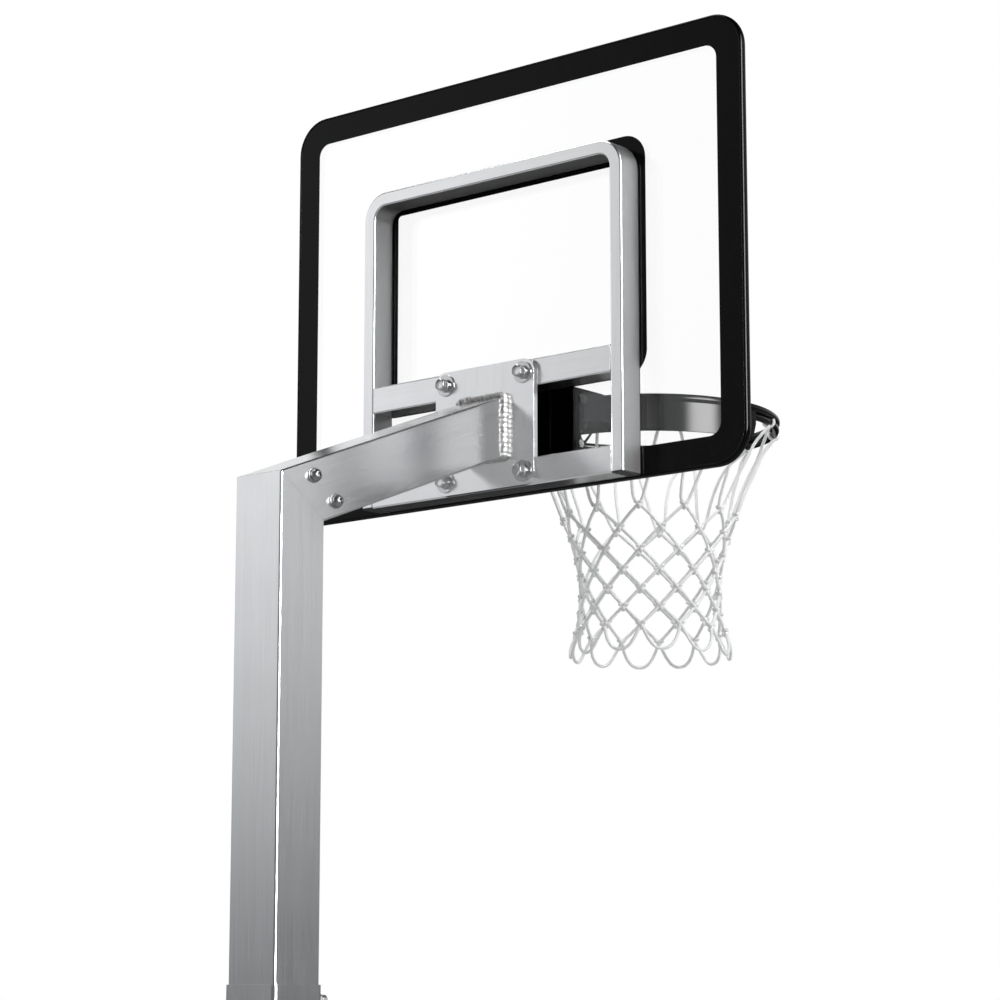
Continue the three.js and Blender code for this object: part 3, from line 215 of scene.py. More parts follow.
# Post, arm and sleeve: square aluminium tube, sawn, brushed along its length and clear anodised.
# The post's upper end is mitred to the arm, which rises to the board; the sleeve holds the post
# and stands on a deck plate with four anchor bolts.
def brushed(name, turn=(0, 0, 0), coordinates="Object"):
    """Brushed aluminium with its grain along Z of the turned pattern. Real brush lines are 0.1 mm
    wide; they are drawn 0.9 mm wide so that they show, and are some 120 mm long."""
    material = bpy.data.materials.new(name)
    material.use_nodes = True
    tree = material.node_tree
    shader = tree.nodes["Principled BSDF"]
    place = add(tree, "ShaderNodeTexCoord").outputs[coordinates]
    grain = add(tree, "ShaderNodeMapping", {
        "vector_type": "TEXTURE", "Rotation": turn, "Scale": (0.0009, 0.0009, 0.12),
    }, {"Vector": place})
    lines = add(tree, "ShaderNodeTexNoise", {"Scale": 1, "Detail": 3, "Roughness": 0.6}, {
        "Vector": grain.outputs[0],
    })
    broad = add(tree, "ShaderNodeMapping", {
        "vector_type": "TEXTURE", "Rotation": turn, "Scale": (0.02, 0.02, 0.5),
    }, {"Vector": place})
    bands = add(tree, "ShaderNodeTexNoise", {"Scale": 1, "Detail": 2}, {"Vector": broad.outputs[0]})
    film = add(tree, "ShaderNodeTexNoise", {"Scale": 14, "Detail": 4}, {"Vector": place})
    tint = add(tree, "ShaderNodeValToRGB", {
        "stops": [(0.25, "#e2e3e4"), (0.5, "#e9e9ea"), (0.75, "#f0f0ef")],
    }, {"Fac": lines.outputs[0]})
    haze = add(tree, "ShaderNodeMapRange", {
        "From Min": 0.3, "From Max": 0.7, "To Min": 0.96, "To Max": 1.0,
    }, {"Value": bands.outputs[0]})
    colour = add(tree, "ShaderNodeVectorMath", {"operation": "SCALE"}, {
        0: tint.outputs[0], "Scale": haze.outputs[0],
    })
    rough = add(tree, "ShaderNodeMapRange", {
        "From Min": 0.3, "From Max": 0.7, "To Min": 0.18, "To Max": 0.21,
    }, {"Value": lines.outputs[0]})
    worn = add(tree, "ShaderNodeMath", {"operation": "MULTIPLY_ADD", 1: 0.05}, {
        0: film.outputs[0], 2: rough.outputs[0],
    })
    edge = add(tree, "ShaderNodeBevel", {"samples": 4, "Radius": 0.0006})
    bump = add(tree, "ShaderNodeBump", {"Strength": 0.07, "Distance": 0.00006}, {
        "Height": lines.outputs[0], "Normal": edge.outputs[0],
    })
    shader.inputs["Metallic"].default_value = 1
    tree.links.new(colour.outputs[0], shader.inputs["Base Color"])
    tree.links.new(worn.outputs[0], shader.inputs["Roughness"])
    tree.links.new(bump.outputs[0], shader.inputs["Normal"])
    return material


def paint(finish, *names):
    """Gives CAD nodes a finish through their material slots."""
    for name in names:
        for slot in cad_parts[name].material_slots:
            slot.material = finish


arm_rise = math.radians(21)
upright = brushed("brushed_aluminium_upright")
along_arm = brushed("brushed_aluminium_arm", (math.radians(90) - arm_rise, 0, 0))
across = brushed("brushed_aluminium_across", (0, math.radians(90), 0))
paint(upright, "post", "anchor_sleeve", "mount_plate")
paint(along_arm, "arm", "elbow_splice")
paint(across, "deck_plate", "lower_crossbar", "upper_crossbar")


# Weld beads round the arm's end and the sleeve's foot: TIG welds in aluminium filler, laid as a
# row of overlapping pools. Each pool is a lens across the joint, one pitch on from the last.
def group(name, inputs):
    """A Geometry Nodes tree with its named inputs, ready for its nodes."""
    tree = bpy.data.node_groups.new(name, "GeometryNodeTree")
    tree.interface.new_socket("Geometry", in_out="INPUT", socket_type="NodeSocketGeometry")
    for label, kind in inputs.items():
        tree.interface.new_socket(label, in_out="INPUT", socket_type=f"NodeSocket{kind}")
    tree.interface.new_socket("Geometry", in_out="OUTPUT", socket_type="NodeSocketGeometry")
    return tree, add(tree, "NodeGroupInput").outputs


def end_group(tree, geometry, finish):
    """Ends a tree in plain geometry with its material."""
    real = add(tree, "GeometryNodeRealizeInstances", {}, {0: geometry})
    coated = add(tree, "GeometryNodeSetMaterial", {}, {0: real.outputs[0], "Material": finish})
    add(tree, "NodeGroupOutput", {}, {0: coated.outputs[0]})


def grow(name, tree, points, edges, sizes, turns=None):
    """Runs a tree on a seed of points and edges, and returns the result as a plain mesh object."""
    mesh = bpy.data.meshes.new(f"{name}_seed")
    mesh.from_pydata(points, edges, [])
    if turns:
        mesh.attributes.new("turn", "FLOAT_VECTOR", "POINT").data.foreach_set(
            "vector", [value for turn in turns for value in turn])
    seed = bpy.data.objects.new(f"{name}_seed", mesh)
    scene.collection.objects.link(seed)
    modifier = seed.modifiers.new("grow", "NODES")
    modifier.node_group = tree
    for item in tree.interface.items_tree:
        if item.in_out == "INPUT" and item.name in sizes:
            modifier[item.identifier] = sizes[item.name]
    seed.update_tag()
    whole = seed.evaluated_get(bpy.context.evaluated_depsgraph_get())
    piece = bpy.data.objects.new(name, bpy.data.meshes.new_from_object(whole))
    bpy.data.objects.remove(seed)
    scene.collection.objects.link(piece)
    return piece


def fit(piece, body, slot, *nodes, sharp=40):
    """Shades a piece, puts it on its body and hides the CAD nodes that it stands for."""
    piece.data.shade_smooth()
    piece.data.set_sharp_from_angle(angle=math.radians(sharp))
    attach(piece, body)
    if nodes:
        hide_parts(*nodes)


# Weld metal: aluminium filler that froze in ripples, duller than the tube, with a darker bloom of
# heat tint on its pools.
weld_metal = bpy.data.materials.new("weld_filler_aluminium")
weld_metal.use_nodes = True
tree = weld_metal.node_tree
shader = tree.nodes["Principled BSDF"]
place = add(tree, "ShaderNodeTexCoord").outputs["Object"]
soot = add(tree, "ShaderNodeTexNoise", {"Scale": 260, "Detail": 3}, {"Vector": place})
tint = add(tree, "ShaderNodeValToRGB", {"stops": [(0.3, "#8f8f8e"), (0.6, "#c2c2c1")]}, {
    "Fac": soot.outputs[0],
})
ripple = add(tree, "ShaderNodeBump", {"Strength": 0.3, "Distance": 0.0002}, {"Height": soot.outputs[0]})
shader.inputs["Metallic"].default_value = 1
shader.inputs["Roughness"].default_value = 0.58
tree.links.new(tint.outputs[0], shader.inputs["Base Color"])
tree.links.new(ripple.outputs[0], shader.inputs["Normal"])

weld_tree, sizes = group("weld_bead", {
    "Pitch": "Float", "Length": "Float", "Width": "Float", "Height": "Float", "Finish": "Material",
})
path = add(weld_tree, "GeometryNodeMeshToCurve", {}, {0: sizes["Geometry"]})
pools = add(weld_tree, "GeometryNodeResampleCurve", {"mode": "LENGTH"}, {0: path.outputs[0]})
weld_tree.links.new(sizes["Pitch"], pools.inputs["Length"])
shape = add(weld_tree, "GeometryNodeMeshUVSphere", {"Segments": 12, "Rings": 7, "Radius": 0.5})
spread = add(weld_tree, "ShaderNodeCombineXYZ", {}, {
    "X": sizes["Length"], "Y": sizes["Width"], "Z": sizes["Height"],
})
lens = add(weld_tree, "GeometryNodeTransform", {}, {0: shape.outputs[0]})
weld_tree.links.new(spread.outputs[0], lens.inputs["Scale"])
forward = add(weld_tree, "GeometryNodeInputTangent")
turn = add(weld_tree, "FunctionNodeAlignRotationToVector", {"axis": "X"}, {
    "Vector": forward.outputs[0],
})
lean = add(weld_tree, "FunctionNodeRandomValue", {
    "data_type": "FLOAT_VECTOR", "Seed": 4, 0: (-0.16, -0.16, -0.16), 1: (0.16, 0.16, 0.16),
})
leaning = add(weld_tree, "FunctionNodeRotateRotation", {"rotation_space": "LOCAL"}, {
    0: turn.outputs[0], 1: lean.outputs[0],
})
swell = add(weld_tree, "FunctionNodeRandomValue", {"Seed": 9, 2: 0.88, 3: 1.1})
row = add(weld_tree, "GeometryNodeInstanceOnPoints", {}, {
    "Points": pools.outputs[0], "Instance": lens.outputs[0], "Rotation": leaning.outputs[0],
    "Scale": swell.outputs[1],
})
end_group(weld_tree, row.outputs[0], sizes["Finish"])


def rounded(half_width, half_height, radius, steps=6):
    """Points round a rectangle with rounded corners, counter-clockwise from its right side. One
    more point on the flat at each end of an arc keeps the flats flat under smooth shading."""
    past_arc = 0.0004
    stops = [(0, -past_arc), *((step, 0) for step in range(steps + 1)), (steps, past_arc)]
    points = []
    for corner, (x, y) in enumerate(((1, 1), (-1, 1), (-1, -1), (1, -1))):
        for step, past in stops:
            angle = math.pi / 2 * (corner + step / steps)
            points.append((x * (half_width - radius) + radius * math.cos(angle) - past * math.sin(angle),
                           y * (half_height - radius) + radius * math.sin(angle) + past * math.cos(angle)))
    return points


def closed(points):
    """The edges of one closed loop."""
    return [(index, (index + 1) % len(points)) for index in range(len(points))]


arm_end, arm_middle = -0.4985, 1.1575
arm_outline = [(x, arm_end, arm_middle + z) for x, z in rounded(0.0505, 0.0541, 0.005)]
bead = grow("arm_weld_bead", weld_tree, arm_outline, closed(arm_outline), {
    "Pitch": 0.0088, "Length": 0.0165, "Width": 0.0185, "Height": 0.0135, "Finish": weld_metal,
})
fit(bead, "mast", "brushed_aluminium", "arm_weld", sharp=60)

deck_joint = 0.0142
sleeve_outline = [(x, y, deck_joint) for x, y in rounded(0.0556, 0.0556, 0.006)]
bead = grow("sleeve_weld_bead", weld_tree, sleeve_outline, closed(sleeve_outline), {
    "Pitch": 0.0062, "Length": 0.0105, "Width": 0.013, "Height": 0.0135, "Finish": weld_metal,
})
fit(bead, "anchor", "brushed_aluminium", "sleeve_weld", sharp=60)


# Fasteners: stainless hex bolts with pressed washers hold the arm's plate to the crossbars, and
# button-head bolts with a hex socket clamp the mitre. Heads are cold formed and chamfered.
def skin(name, shells, looped=False):
    """A closed mesh over each shell's rings of points, with UVs along and round it in metres."""
    vertices, faces, places = [], [], []
    for rings in shells:
        base, count, total = len(vertices), len(rings[0]), len(rings)
        vertices += [point for ring in rings for point in ring]
        spans = total if looped else total - 1
        along = [0.0]
        for index in range(spans):
            step = Vector(rings[(index + 1) % total][0]) - Vector(rings[index][0])
            along.append(along[-1] + step.length)
        around = [0.0]
        for index in range(count):
            step = Vector(rings[0][(index + 1) % count]) - Vector(rings[0][index])
            around.append(around[-1] + step.length)
        for ring in range(spans):
            for index in range(count):
                corners = ((ring, index), (ring, index + 1), (ring + 1, index + 1), (ring + 1, index))
                faces.append([base + (r % total) * count + i % count for r, i in corners])
                places += [(along[r], around[i]) for r, i in corners]
        if not looped:
            for ring, order in ((0, -1), (total - 1, 1)):
                faces.append([base + ring * count + index for index in range(count)][::order])
                places += [(rings[ring][index][0], rings[ring][index][2]) for index in range(count)][::order]
    mesh = bpy.data.meshes.new(name)
    mesh.from_pydata(vertices, [], faces)
    mesh.uv_layers.new(name="along").data.foreach_set("uv", [v for place in places for v in place])
    outward_faces = bmesh.new()
    outward_faces.from_mesh(mesh)
    bmesh.ops.recalc_face_normals(outward_faces, faces=outward_faces.faces)
    outward_faces.to_mesh(mesh)
    outward_faces.free()
    piece = bpy.data.objects.new(name, mesh)
    scene.collection.objects.link(piece)
    return piece


def lathe(outline, sides=48):
    """Rings for a turned shape. The outline is radius and height, from its start to its end."""
    turns = [2 * math.pi * index / sides for index in range(sides)]
    return [[(r * math.cos(a), r * math.sin(a), z) for a in turns] for r, z in outline]


def hexagon(across, start, end, sides=48):
    """Rings for a hexagon head whose far end is chamfered at thirty degrees and a little dished."""
    flat = across / 2
    face, dish = 0.94 * flat, 0.84 * flat
    rings = [[], [], [], []]
    for index in range(sides):
        angle = 2 * math.pi * index / sides
        reach = flat / math.cos((angle + math.pi / 6) % (math.pi / 3) - math.pi / 6)
        lip = end - (reach - face) * math.tan(math.radians(30))
        outline = ((reach, start), (reach, lip), (face, end), (dish, end - 0.0003))
        for ring, (radius, level) in zip(rings, outline):
            ring.append((radius * math.cos(angle), radius * math.sin(angle), level))
    return rings


# Stainless steel: cold formed and tumbled, so it is bright, with fine handling marks and soft edges.
steel = bpy.data.materials.new("stainless_fastener")
steel.use_nodes = True
tree = steel.node_tree
shader = tree.nodes["Principled BSDF"]
place = add(tree, "ShaderNodeTexCoord").outputs["Object"]
marks = add(tree, "ShaderNodeTexNoise", {"Scale": 420, "Detail": 4, "Roughness": 0.7}, {"Vector": place})
tint = add(tree, "ShaderNodeValToRGB", {"stops": [(0.3, "#b9babb"), (0.7, "#d2d3d3")]}, {
    "Fac": marks.outputs[0],
})
rough = add(tree, "ShaderNodeMapRange", {"To Min": 0.12, "To Max": 0.22}, {"Value": marks.outputs[0]})
edge = add(tree, "ShaderNodeBevel", {"samples": 4, "Radius": 0.0004})
bump = add(tree, "ShaderNodeBump", {"Strength": 0.04, "Distance": 0.0001}, {
    "Height": marks.outputs[0], "Normal": edge.outputs[0],
})
shader.inputs["Metallic"].default_value = 1
tree.links.new(tint.outputs[0], shader.inputs["Base Color"])
tree.links.new(rough.outputs[0], shader.inputs["Roughness"])
tree.links.new(bump.outputs[0], shader.inputs["Normal"])

repeat_tree, sizes = group("fastener_row", {"Pattern": "Object", "Finish": "Material"})
pattern = add(repeat_tree, "GeometryNodeObjectInfo", {"As Instance": True}, {"Object": sizes["Pattern"]})
turn = add(repeat_tree, "GeometryNodeInputNamedAttribute", {"data_type": "FLOAT_VECTOR", "Name": "turn"})
turned = add(repeat_tree, "FunctionNodeEulerToRotation", {}, {0: turn.outputs[0]})
row = add(repeat_tree, "GeometryNodeInstanceOnPoints", {}, {
    "Points": sizes["Geometry"], "Instance": pattern.outputs["Geometry"], "Rotation": turned.outputs[0],
})
end_group(repeat_tree, row.outputs[0], sizes["Finish"])


def repeat(name, shells, places, turn, finish):
    """One piece with the same fastener at each place; its axis is Z before it is turned."""
    pattern = skin(f"{name}_pattern", shells)
    piece = grow(name, repeat_tree, places, [], {"Pattern": pattern, "Finish": finish},
                 [turn] * len(places))
    bpy.data.objects.remove(pattern)
    return piece


plate_face, bore = -0.504, 0.0066
plate_places = [(x, plate_face, z) for x in (-0.087, 0.087) for z in (1.074, 1.247)]
rearward = (math.radians(-90), 0, 0)
washer = lathe([(bore, 0), (0.0188, 0), (0.019, 0.0004), (0.019, 0.0026), (0.0186, 0.003), (bore, 0.003)])
spring_washer = lathe([(bore, 0.0031), (0.0118, 0.0031), (0.012, 0.0035), (0.012, 0.0066),
                       (0.0118, 0.007), (bore, 0.007)])
shank = lathe([(0.006, -0.026), (0.006, 0.0072)], 24)
bolts = repeat("plate_bolt_heads", [washer, spring_washer, hexagon(0.019, 0.0071, 0.019), shank],
               plate_places, rearward, steel)
fit(bolts, "mast", "zinc_fasteners", *[f"plate_bolt_{index}" for index in (1, 2, 3, 4)])

arm_side, bore = -0.05, 0.0052
arm_places = [(arm_side, -0.0244, 1.0004), (arm_side, -0.0749, 0.9656)]
outward = (0, math.radians(-90), 0)
wide_washer = lathe([(bore, 0), (0.0119, 0), (0.0122, 0.0004), (0.0122, 0.0022), (0.0119, 0.0025),
                     (bore, 0.0025)])
step_washer = lathe([(bore, 0.0026), (0.0108, 0.0026), (0.011, 0.003), (0.011, 0.0046),
                     (0.0108, 0.005), (bore, 0.005)])
button = lathe([(bore, 0.0048), (0.0099, 0.0048), (0.01, 0.0054), (0.0098, 0.0068), (0.0088, 0.0092),
                (0.0072, 0.0112), (0.006, 0.0122), (0.0054, 0.0125), (0.0038, 0.0125), (0.0037, 0.0121),
                (0.0037, 0.0085), (0.0005, 0.0078)])

# Passivated heads: the same steel, etched grey and duller than the plain bolts.
passivated = steel.copy()
passivated.name = "passivated_stainless"
tree = passivated.node_tree
shader = tree.nodes["Principled BSDF"]
grey = add(tree, "ShaderNodeVectorMath", {"operation": "MULTIPLY", 1: (0.42, 0.42, 0.43)}, {
    0: shader.inputs["Base Color"].links[0].from_socket,
})
tree.links.new(grey.outputs[0], shader.inputs["Base Color"])
etched = add(tree, "ShaderNodeMath", {"operation": "ADD", 1: 0.16}, {
    0: shader.inputs["Roughness"].links[0].from_socket,
})
tree.links.new(etched.outputs[0], shader.inputs["Roughness"])
bolts = repeat("arm_bolt_heads", [wide_washer, step_washer, button], arm_places, outward, passivated)
fit(bolts, "mast", "zinc_fasteners", "arm_bolt_upper", "arm_bolt_lower")
paint(steel, "arm_nut_upper", "arm_nut_lower", "set_bolt_left", "set_bolt_right", "spring_anchor_bolt",
      *[f"{kind}_{index}" for kind in ("plate_nut", "anchor_bolt", "board_screw", "rim_bolt")
        for index in (1, 2, 3, 4)])


# Board frame: one length of flat-oval aluminium tube bent into a hoop, brushed before bending, so
# its grain follows the bends. Rubber plugs close its feet and a rubber strip beds it on the board.
along_tube = brushed("brushed_aluminium_bent", (0, math.radians(90), 0), "UV")
tube_section = rounded(0.0125, 0.025, 0.003, 4)
tube_middle, bend_x, bend_z, bend_radius, bend_steps = -0.539, 0.244, 1.5825, 0.0375, 12
leg_levels = (1.0525, 1.2, 1.4)
quarter = math.pi / 2
stations = [(bend_x, z, 0) for z in leg_levels]
stations += [(bend_x, bend_z, quarter * step / bend_steps) for step in range(bend_steps + 1)]
stations += [(x, bend_z, quarter) for x in (0.12, 0, -0.12)]
stations += [(-bend_x, bend_z, quarter * (1 + step / bend_steps)) for step in range(bend_steps + 1)]
stations += [(-bend_x, z, 2 * quarter) for z in reversed(leg_levels)]
tube_rings = [[(x + (bend_radius + u) * math.cos(angle), tube_middle + v,
                z + (bend_radius + u) * math.sin(angle)) for u, v in tube_section]
              for x, z, angle in stations]
bent_frame = skin("bent_frame", [tube_rings])
bent_frame.data.materials.append(along_tube)

# The tube's narrow sides stay as extruded, so they are rougher than its brushed faces. Their colour is
# painted darker by which way they face, as painted shade for the dark reflections they show.
tree = along_tube.node_tree
shader = tree.nodes["Principled BSDF"]
facing = add(tree, "ShaderNodeSeparateXYZ", {}, {0: add(tree, "ShaderNodeTexCoord").outputs["Normal"]})
broad_face = add(tree, "ShaderNodeMath", {"operation": "ABSOLUTE"}, {0: facing.outputs["Y"]})
narrow = add(tree, "ShaderNodeMapRange", {"From Min": 0.35, "From Max": 0.8, "To Min": 1, "To Max": 0}, {
    "Value": broad_face.outputs[0],
})
# Painted shade: the narrow sides' colour is darkened to four tenths of the brushed faces'.
side_shade = add(tree, "ShaderNodeMapRange", {"To Min": 1, "To Max": 0.4}, {"Value": narrow.outputs[0]})
side_shaded_colour = add(tree, "ShaderNodeVectorMath", {"operation": "SCALE"}, {
    0: shader.inputs["Base Color"].links[0].from_socket, "Scale": side_shade.outputs[0],
})
coarse = add(tree, "ShaderNodeMath", {"operation": "MULTIPLY_ADD", 1: 0.2}, {
    0: narrow.outputs[0], 2: shader.inputs["Roughness"].links[0].from_socket,
})
tree.links.new(side_shaded_colour.outputs[0], shader.inputs["Base Color"])
tree.links.new(coarse.outputs[0], shader.inputs["Roughness"])
fit(bent_frame, "mast", "brushed_aluminium", "board_frame")

# Rubber: moulded black, matt with a faint grain, greyed by sun.
rubber = bpy.data.materials.new("moulded_rubber")
rubber.use_nodes = True
tree = rubber.node_tree
shader = tree.nodes["Principled BSDF"]
place = add(tree, "ShaderNodeTexCoord").outputs["Object"]
grain = add(tree, "ShaderNodeTexNoise", {"Scale": 900, "Detail": 3}, {"Vector": place})
tint = add(tree, "ShaderNodeValToRGB", {"stops": [(0.3, "#121212"), (0.75, "#242424")]}, {
    "Fac": grain.outputs[0],
})
bump = add(tree, "ShaderNodeBump", {"Strength": 0.2, "Distance": 0.0001}, {"Height": grain.outputs[0]})
shader.inputs["Roughness"].default_value = 0.62
tree.links.new(tint.outputs[0], shader.inputs["Base Color"])
tree.links.new(bump.outputs[0], shader.inputs["Normal"])
paint(rubber, "frame_gasket", "leg_plug_left", "leg_plug_right", "stop_bumper_left", "stop_bumper_right")


# Board: a clear cast acrylic sheet, cut with round corners and polished at its edge. A black border
# and target band are printed on its rear face, and a rounded black trim is pressed on its edge.
def around_board(section, half_width, bottom, top, radius_of, steps=12):
    """Rings for a section carried round a board outline. A section point is offset and depth."""
    middle, half_height = (bottom + top) / 2, (top - bottom) / 2
    loops = []
    for offset, depth in section:
        outline = rounded(half_width + offset, half_height + offset, radius_of(offset), steps)
        loops.append([(x, depth, middle + z) for x, z in outline])
    return [list(ring) for ring in zip(*loops)]


# Cast acrylic: water clear and polished, with a faint haze where it has been wiped.
acrylic = bpy.data.materials.new("cast_acrylic")
acrylic.use_nodes = True
tree = acrylic.node_tree
shader = tree.nodes["Principled BSDF"]
place = add(tree, "ShaderNodeTexCoord").outputs["Object"]
wipe = add(tree, "ShaderNodeTexNoise", {"Scale": 5, "Detail": 6}, {"Vector": place})
haze = add(tree, "ShaderNodeMapRange", {"From Min": 0.45, "From Max": 0.8, "To Min": 0.0, "To Max": 0.05}, {
    "Value": wipe.outputs[0],
})
shader.inputs["Base Color"].default_value = linear("#ffffff")
shader.inputs["IOR"].default_value = 1.49
shader.inputs["Specular IOR Level"].default_value = 0.06
shader.inputs["Transmission Weight"].default_value = 1
tree.links.new(haze.outputs[0], shader.inputs["Roughness"])
light_through = add(tree, "ShaderNodeBsdfTransparent", {"Color": linear("#f6f8f8")})
rays = add(tree, "ShaderNodeLightPath")
through = add(tree, "ShaderNodeMixShader", {}, {
    0: rays.outputs["Is Shadow Ray"], 1: shader.outputs[0], 2: light_through.outputs[0],
})
tree.links.new(through.outputs[0], tree.nodes["Material Output"].inputs["Surface"])

half_width, bottom, top, corner_radius = 0.507, 1.05, 1.823, 0.06
sheet_front, sheet_rear, edge_break = -0.5797, -0.567, 0.0008
edge_section = [(-0.03, sheet_front), (-edge_break, sheet_front), (0, sheet_front + edge_break),
                (0, sheet_rear - edge_break), (-edge_break, sheet_rear), (-0.03, sheet_rear)]
edge_rings = around_board(edge_section, half_width, bottom, top, lambda offset: corner_radius + offset)
sheet = skin("acrylic_sheet", [[list(loop) for loop in zip(*edge_rings)]])
sheet.data.materials.append(acrylic)
fit(sheet, "mast", "clear_acrylic", "backboard_sheet")

# Ink and trim: gloss black, as the printed border and the vinyl trim are. Dust and dried water
# spots dull it in places.
film = bpy.data.materials.new("gloss_black_vinyl")
film.use_nodes = True
tree = film.node_tree
shader = tree.nodes["Principled BSDF"]
place = add(tree, "ShaderNodeTexCoord").outputs["Object"]
dust = add(tree, "ShaderNodeTexNoise", {"Scale": 30, "Detail": 8, "Roughness": 0.7}, {"Vector": place})
tint = add(tree, "ShaderNodeValToRGB", {"stops": [(0.4, "#020202"), (0.8, "#080808")]}, {
    "Fac": dust.outputs[0],
})
rough = add(tree, "ShaderNodeMapRange", {"To Min": 0.1, "To Max": 0.26}, {"Value": dust.outputs[0]})
shader.inputs["Specular IOR Level"].default_value = 0.1
tree.links.new(tint.outputs[0], shader.inputs["Base Color"])
tree.links.new(rough.outputs[0], shader.inputs["Roughness"])

# The border narrows the corner's radius evenly from the edge to its inner side. The trim grips the
# sheet with a little play and ends in a bull nose.
border_width, border_corner, play, nose_steps = 0.049, 0.024, 0.00005, 12
ink_face, ink_back = sheet_rear + play, sheet_rear + 0.00035
bull_nose = [(0.0004 + 0.0034 * math.sin(math.pi * step / nose_steps),
              -0.5733 + 0.0073 * math.cos(math.pi * step / nose_steps)) for step in range(nose_steps + 1)]
trim_section = [(-border_width, ink_face), (-border_width, ink_back), (-0.0022, ink_back),
                (-0.002, -0.56625), (-0.0014, -0.566), *bull_nose, (-0.003, -0.5806),
                (-0.003, sheet_front - play), (play, sheet_front - play), (play, ink_face)]
narrowing = (corner_radius - border_corner) / border_width
trim = skin("board_trim", [around_board(
    trim_section, half_width, bottom, top,
    lambda offset: corner_radius + offset * (narrowing if offset < 0 else 1))], looped=True)
trim.data.materials.append(film)
fit(trim, "mast", "black_film", "backboard_border", sharp=50)

target_back = -0.5665
outer = around_board([(0, target_back), (0, ink_face)], 0.307, 1.223, 1.649, lambda offset: 0.045)
inner = around_board([(0, ink_face), (0, target_back)], 0.258, 1.272, 1.6, lambda offset: 0.008)
target = skin("target_square", [[out + back for out, back in zip(outer, inner)]], looped=True)
target.data.materials.append(film)
fit(target, "mast", "black_film", "target_band")


# Rim mount: folded and welded steel plate, powder coated gloss black. The fixed bracket is bolted
# through the board; the carriage swings down from it on a pin when a player hangs on the rim.
# The coat has a fine orange peel, and the ball and dust rub its gloss down in places.
powder = bpy.data.materials.new("black_powder_coat")
powder.use_nodes = True
tree = powder.node_tree
shader = tree.nodes["Principled BSDF"]
place = add(tree, "ShaderNodeTexCoord").outputs["Object"]
peel = add(tree, "ShaderNodeTexNoise", {"Scale": 330, "Detail": 1}, {"Vector": place})
rub = add(tree, "ShaderNodeTexNoise", {"Scale": 22, "Detail": 7, "Roughness": 0.65}, {"Vector": place})
tint = add(tree, "ShaderNodeValToRGB", {"stops": [(0.35, "#030303"), (0.8, "#0c0c0d")]}, {
    "Fac": rub.outputs[0],
})
rough = add(tree, "ShaderNodeMapRange", {"To Min": 0.08, "To Max": 0.2}, {"Value": rub.outputs[0]})
edge = add(tree, "ShaderNodeBevel", {"samples": 4, "Radius": 0.0008})
bump = add(tree, "ShaderNodeBump", {"Strength": 0.12, "Distance": 0.0002}, {
    "Height": peel.outputs[0], "Normal": edge.outputs[0],
})
shader.inputs["Specular IOR Level"].default_value = 0.13
tree.links.new(tint.outputs[0], shader.inputs["Base Color"])
tree.links.new(rough.outputs[0], shader.inputs["Roughness"])
tree.links.new(bump.outputs[0], shader.inputs["Normal"])
paint(powder, "rim_backing_plate", "rim_bracket", "rim_carriage", "spring_foot")


# Ring: two steel rods bent to a circle and welded one on the other, with a flat band that braces
# the half nearest the board. They wear the mount's powder coat.
def round_section(radius, height, sides=20):
    """A rod's section: the distance from its own circle, and the height, of each point."""
    turns = [2 * math.pi * index / sides for index in range(sides)]
    return [(radius * math.cos(turn), height + radius * math.sin(turn)) for turn in turns][::-1]


def hoop_rings(section, steps=160):
    """Rings for a section of reach and height carried round the ring's centre."""
    rings = []
    for step in range(steps):
        angle = 2 * math.pi * step / steps
        rings.append([((rod_radius + reach) * math.cos(angle),
                       centre_y + (rod_radius + reach) * math.sin(angle), z) for reach, z in section])
    return rings


centre_y, rod_radius = -0.9808, 0.2366
upper_height, rod_height = 1.2413, 1.22665
rods = skin("ring_rods", [hoop_rings(round_section(0.008, upper_height)),
                          hoop_rings(round_section(0.00635, rod_height))], looped=True)
rods.data.materials.append(powder)
fit(rods, "rim", "black_powder_coat", "ring_upper", "ring_lower")

# The band's lower corners are rounded, and its rolled edges have a small chamfer.
band_inner, band_outer, band_low, band_high, band_corner = 0.24355, 0.24655, 1.18, 1.233, 0.03
chamfer_in, chamfer_up, band_steps = 0.00025, 0.0003, 128
start, end = math.radians(1.2), math.radians(178.8)
band_rings = []
for step in range(band_steps + 1):
    angle = start + (end - start) * step / band_steps
    from_end = max(min(angle - start, end - angle), 0) * band_outer
    past_corner = band_corner - min(from_end, band_corner)
    low = band_low + band_corner - math.sqrt(band_corner ** 2 - past_corner ** 2)
    section = [(band_inner, band_high), (band_inner + chamfer_in, band_high + chamfer_up),
               (band_outer - chamfer_in, band_high + chamfer_up), (band_outer, band_high),
               (band_outer, low), (band_outer - chamfer_in, low - chamfer_up),
               (band_inner + chamfer_in, low - chamfer_up), (band_inner, low)]
    band_rings.append([(r * math.cos(angle), centre_y + r * math.sin(angle), z) for r, z in section])
brace = skin("ring_brace", [band_rings])
brace.data.materials.append(powder)
fit(brace, "rim", "black_powder_coat", "ring_band", sharp=30)


# Return springs: coiled spring steel, black oxide, with closed end turns. They sit between the
# bracket's foot and the carriage and push the ring back up.
spring_steel = bpy.data.materials.new("black_oxide_spring_steel")
spring_steel.use_nodes = True
tree = spring_steel.node_tree
shader = tree.nodes["Principled BSDF"]
place = add(tree, "ShaderNodeTexCoord").outputs["Object"]
oxide = add(tree, "ShaderNodeTexNoise", {"Scale": 500, "Detail": 4}, {"Vector": place})
tint = add(tree, "ShaderNodeValToRGB", {"stops": [(0.35, "#1b1b1c"), (0.75, "#3c3b3a")]}, {
    "Fac": oxide.outputs[0],
})
shader.inputs["Metallic"].default_value = 0.7
shader.inputs["Roughness"].default_value = 0.34
tree.links.new(tint.outputs[0], shader.inputs["Base Color"])

paint(spring_steel, "hinge_pin")

